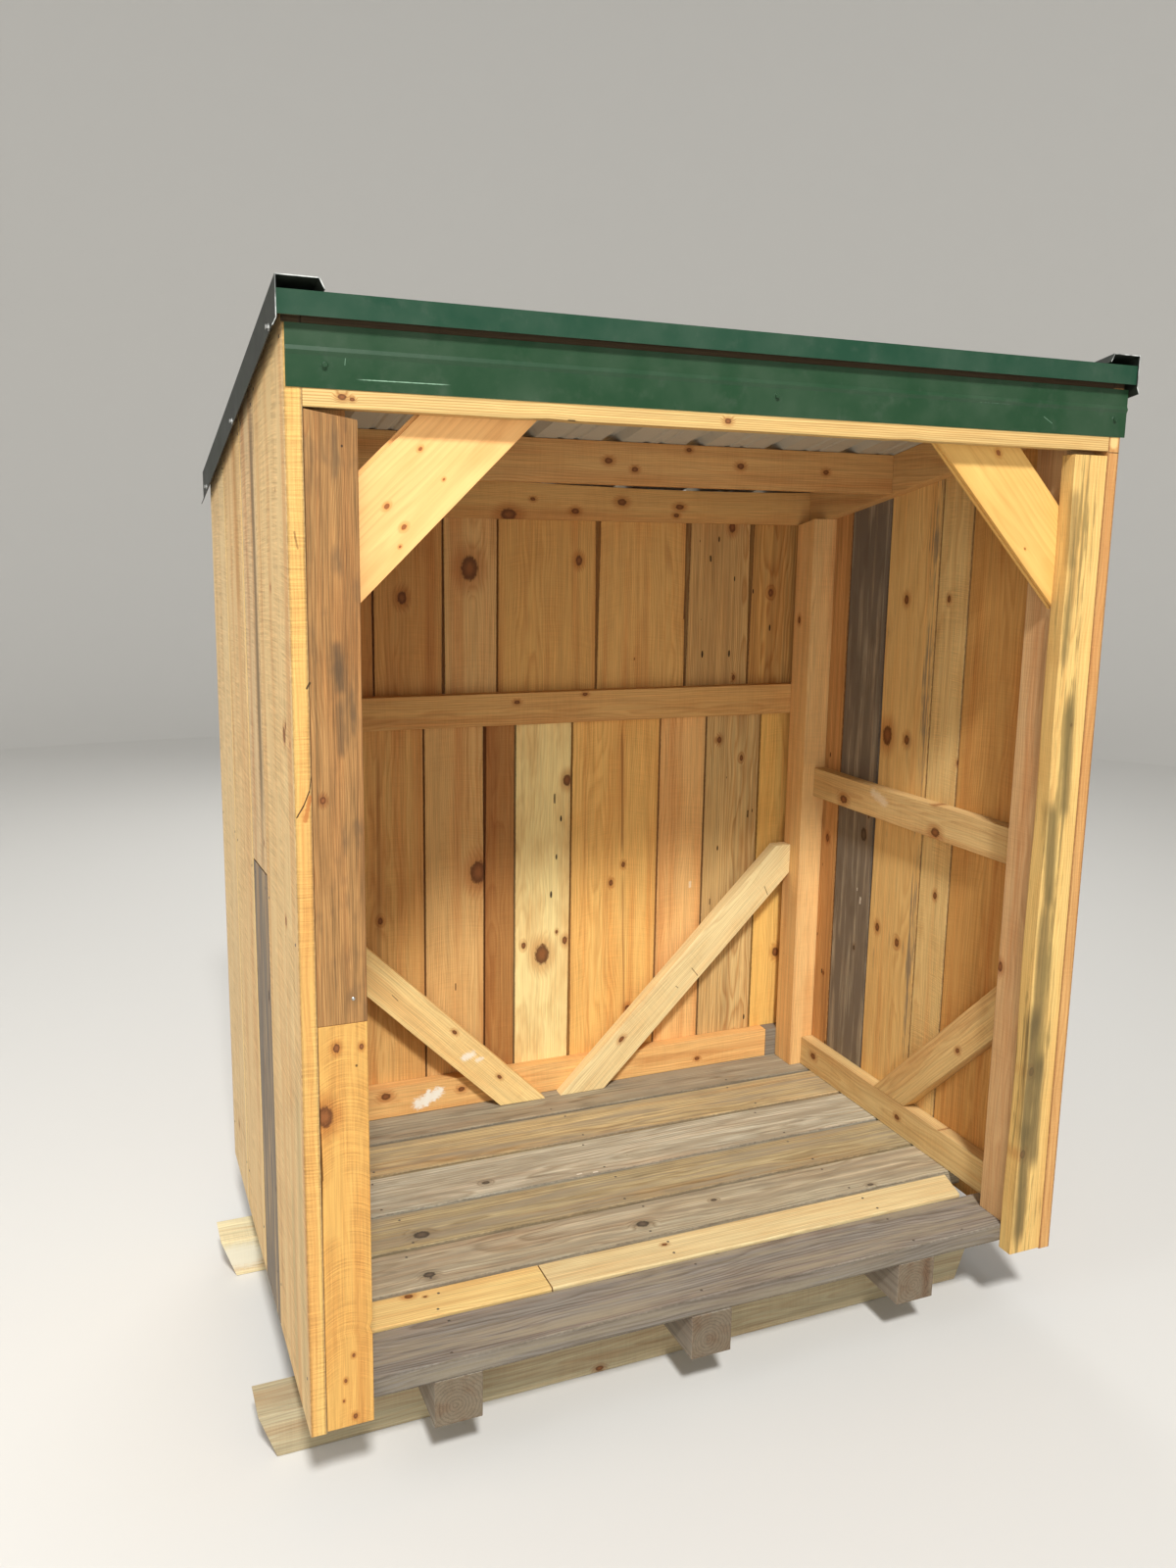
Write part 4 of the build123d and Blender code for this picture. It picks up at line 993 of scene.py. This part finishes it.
def addScrew(bm, place, axis):
    base = standing(place, axis)
    flange, top, rise, radius = [roofScrew[name] * mm for name in ("flange", "flangeTop", "flangeHeight", "head")]
    addDisc(bm, base, 0, rise, roofScrew["flangeSides"], flange, top)
    head = addDisc(bm, base, rise, roofScrew["headHeight"] * mm, roofScrew["headSides"], radius, radius)
    out = Vector(axis).normalized()
    crown = max(v.co.dot(out) for v in head)
    upper = {e for v in head for e in v.link_edges if all(w.co.dot(out) > crown - mm for w in e.verts)}
    bmesh.ops.bevel(bm, geom=list(upper), offset=roofScrew["ease"] * mm, segments=roofScrew["easeSteps"],
                    profile=0.5, affect="EDGES", material=-1)


def addNail(bm, place, axis):
    addDisc(bm, standing(place, axis), 0, nailHead["height"] * mm, nailHead["sides"], nailHead["radius"] * mm,
            nailHead["crown"] * mm)


def makeHeads(name, places, addHead, material):
    bm = bmesh.new()
    for place, axis in places:
        addHead(bm, place, axis)
    bmesh.ops.recalc_face_normals(bm, faces=bm.faces[:])
    piece = addObject(name, meshOf(bm, name, [material]))
    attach(piece, "root")


def nailDeck():
    nails = []
    inset = deckNails["inset"]
    for low, high in deckBoxes:
        for x in deckNails["rows"]:
            for y in (low.y / mm + inset, high.y / mm - inset):
                if low.x / mm < x < high.x / mm:
                    along, across = [dice.uniform(-stray, stray) for stray in deckNails["stray"]]
                    nails.append(((x + along, y + across, high.z / mm), (0, 0, 1)))
    return nails


def nailWalls():
    nails = []
    inset, ends, stray, strayUp = [wallNails[name] for name in ("inset", "ends", "stray", "strayUp")]
    for node, (across, out, side) in wallNails["walls"].items():
        for low, high in boardBoxes[node]:
            for share in (low[across] / mm + inset, high[across] / mm - inset):
                place = [0.0, 0.0]
                place[across] = share + dice.uniform(-stray, stray)
                place[out] = (high if side > 0 else low)[out] / mm
                axis = [0.0, 0.0, 0.0]
                axis[out] = side
                for z in [wallNails["plate"], pansUnder(place[1]) - wallNails["roofDrop"]] + wallNails["between"][out]:
                    if low.z / mm + ends < z < high.z / mm - ends:
                        nails.append(((*place, z + dice.uniform(-strayUp, strayUp)), axis))
    return nails


def makeFasteners():
    zinc, nailSteel = [plainMetal(name, *finish) for name, finish in metals.items()]
    makeHeads("fasciaScrews", [(place, (0, -1, 0)) for place in trimScrews["fascia"]], addScrew,
              paints["bakedGreenPaintFascia"])
    low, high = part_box("rake_trim_left")[0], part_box("rake_trim_right")[1]
    kick = trimScrews["kick"]
    rakes = []
    for y in trimScrews["rakeDepths"]:
        z = pansUnder(y) + trimScrews["legFoot"] + trimScrews["rakeUp"]
        rakes += [((low[0] / mm + kick, y, z), (-1, 0, 0)), ((high[0] / mm - kick, y, z), (1, 0, 0))]
    makeHeads("rakeScrews", rakes, addScrew, zinc)
    left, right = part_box("roof_sheet")[0][0] / mm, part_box("roof_sheet")[1][0] / mm
    pitch = (right - left) / sheetScrews["ribs"]
    up = (0, roofPlane["slope"], 1)
    rows = [left + pitch * i + sheetScrews["besideRib"] for i in range(sheetScrews["ribs"])]
    places = [((x, y, pansUnder(y) + sheetScrews["sheetTop"]), up) for x in rows for y in sheetScrews["depths"]]
    makeHeads("roofScrews", places, addScrew, paints["bakedGreenPaintSheet"])
    nails = nailDeck() + nailWalls()
    makeHeads("nails", nails, addNail, nailSteel)
    makeHeads("faceBoardScrew", [(faceBoardScrew, (0, -1, 0))], addNail, zinc)
    print("fasteners made,", len(nails), "nails")


makeFasteners()

stageLook = {
    "floor": "#CFCDC8",
    "floorRoughness": 0.9,
    "world": "#F1F2F4",
    "worldStrength": 0.34,
    "radius": 9.0,
    "sides": 96,
    "coveRadius": 4.0,
    "coveAngles": (15, 30, 45, 60, 75, 90),
    "wallHeight": 9.0,
}


def setStage():
    # A pale floor that curves up into a round wall
    radius, cove = stageLook["radius"], stageLook["coveRadius"]
    bm = bmesh.new()
    bmesh.ops.create_circle(bm, cap_ends=True, segments=stageLook["sides"], radius=radius)
    edges = [edge for edge in bm.edges if edge.is_boundary]
    outline = [(cove * math.sin(a), cove * (1 - math.cos(a))) for a in map(math.radians, stageLook["coveAngles"])]
    outline.append((cove, cove + stageLook["wallHeight"]))
    reached = radius
    level = 0.0
    for out, up in outline:
        made = bmesh.ops.extrude_edge_only(bm, edges=edges)["geom"]
        ring = [v for v in made if isinstance(v, bmesh.types.BMVert)]
        edges = [e for e in made if isinstance(e, bmesh.types.BMEdge)]
        grow = (radius + out) / reached
        bmesh.ops.scale(bm, vec=(grow, grow, 1), verts=ring)
        bmesh.ops.translate(bm, vec=(0, 0, up - level), verts=ring)
        reached *= grow
        level = up
    for face in bm.faces:
        face.smooth = len(face.verts) == 4
    # matt warm grey: quiet, so that the timber's yellow and the green roof stand out
    material = emptyMaterial("paleFloor")
    tree = material.node_tree
    shader = addNode(tree, "BsdfPrincipled", {"Base Color": linear(stageLook["floor"]),
                     "Roughness": stageLook["floorRoughness"]})
    addNode(tree, "OutputMaterial", {"Surface": shader})
    floor = addObject("floor", meshOf(bm, "floor", [material]))
    world = bpy.data.worlds.new("paleRoom")
    world.use_nodes = True
    world.node_tree.nodes.clear()
    glow = addNode(world.node_tree, "Background", {0: linear(stageLook["world"]), 1: stageLook["worldStrength"]})
    addNode(world.node_tree, "OutputWorld", {0: glow})
    bpy.context.scene.world = world


lamps = {  # places and sizes in metres, power in watts
    "keyLight": {"place": (-2.0, -8.2, 10.02), "aim": (0.0, 0.0, 0.8), "size": 1.5, "power": 1650},
    "fillLight": {"place": (-3.2, -5.5, 2.4), "aim": (0.3, 0.2, 0.9), "size": 3.0, "power": 60},
    "leftLight": {"place": (-5.0, -1.0, 3.2), "aim": (-0.8, 0.0, 1.0), "size": 3.0, "power": 85},
    "backLight": {"place": (1.5, 5.5, 4.2), "aim": (0.0, 0.0, 1.2), "size": 3.5, "power": 110},
}


def setLamps():
    for name, lamp in lamps.items():
        data = bpy.data.lights.new(name, "AREA")
        data.shape = "DISK"
        data.size = lamp["size"]
        data.energy = lamp["power"]
        place = Vector(lamp["place"])
        turn = (Vector(lamp["aim"]) - place).to_track_quat("-Z", "Y").to_matrix().to_4x4()
        addObject(name, data, Matrix.Translation(place) @ turn)


setStage()
setLamps()
bpy.context.scene.view_settings.view_transform = "Standard"
print("stage and lamps set")
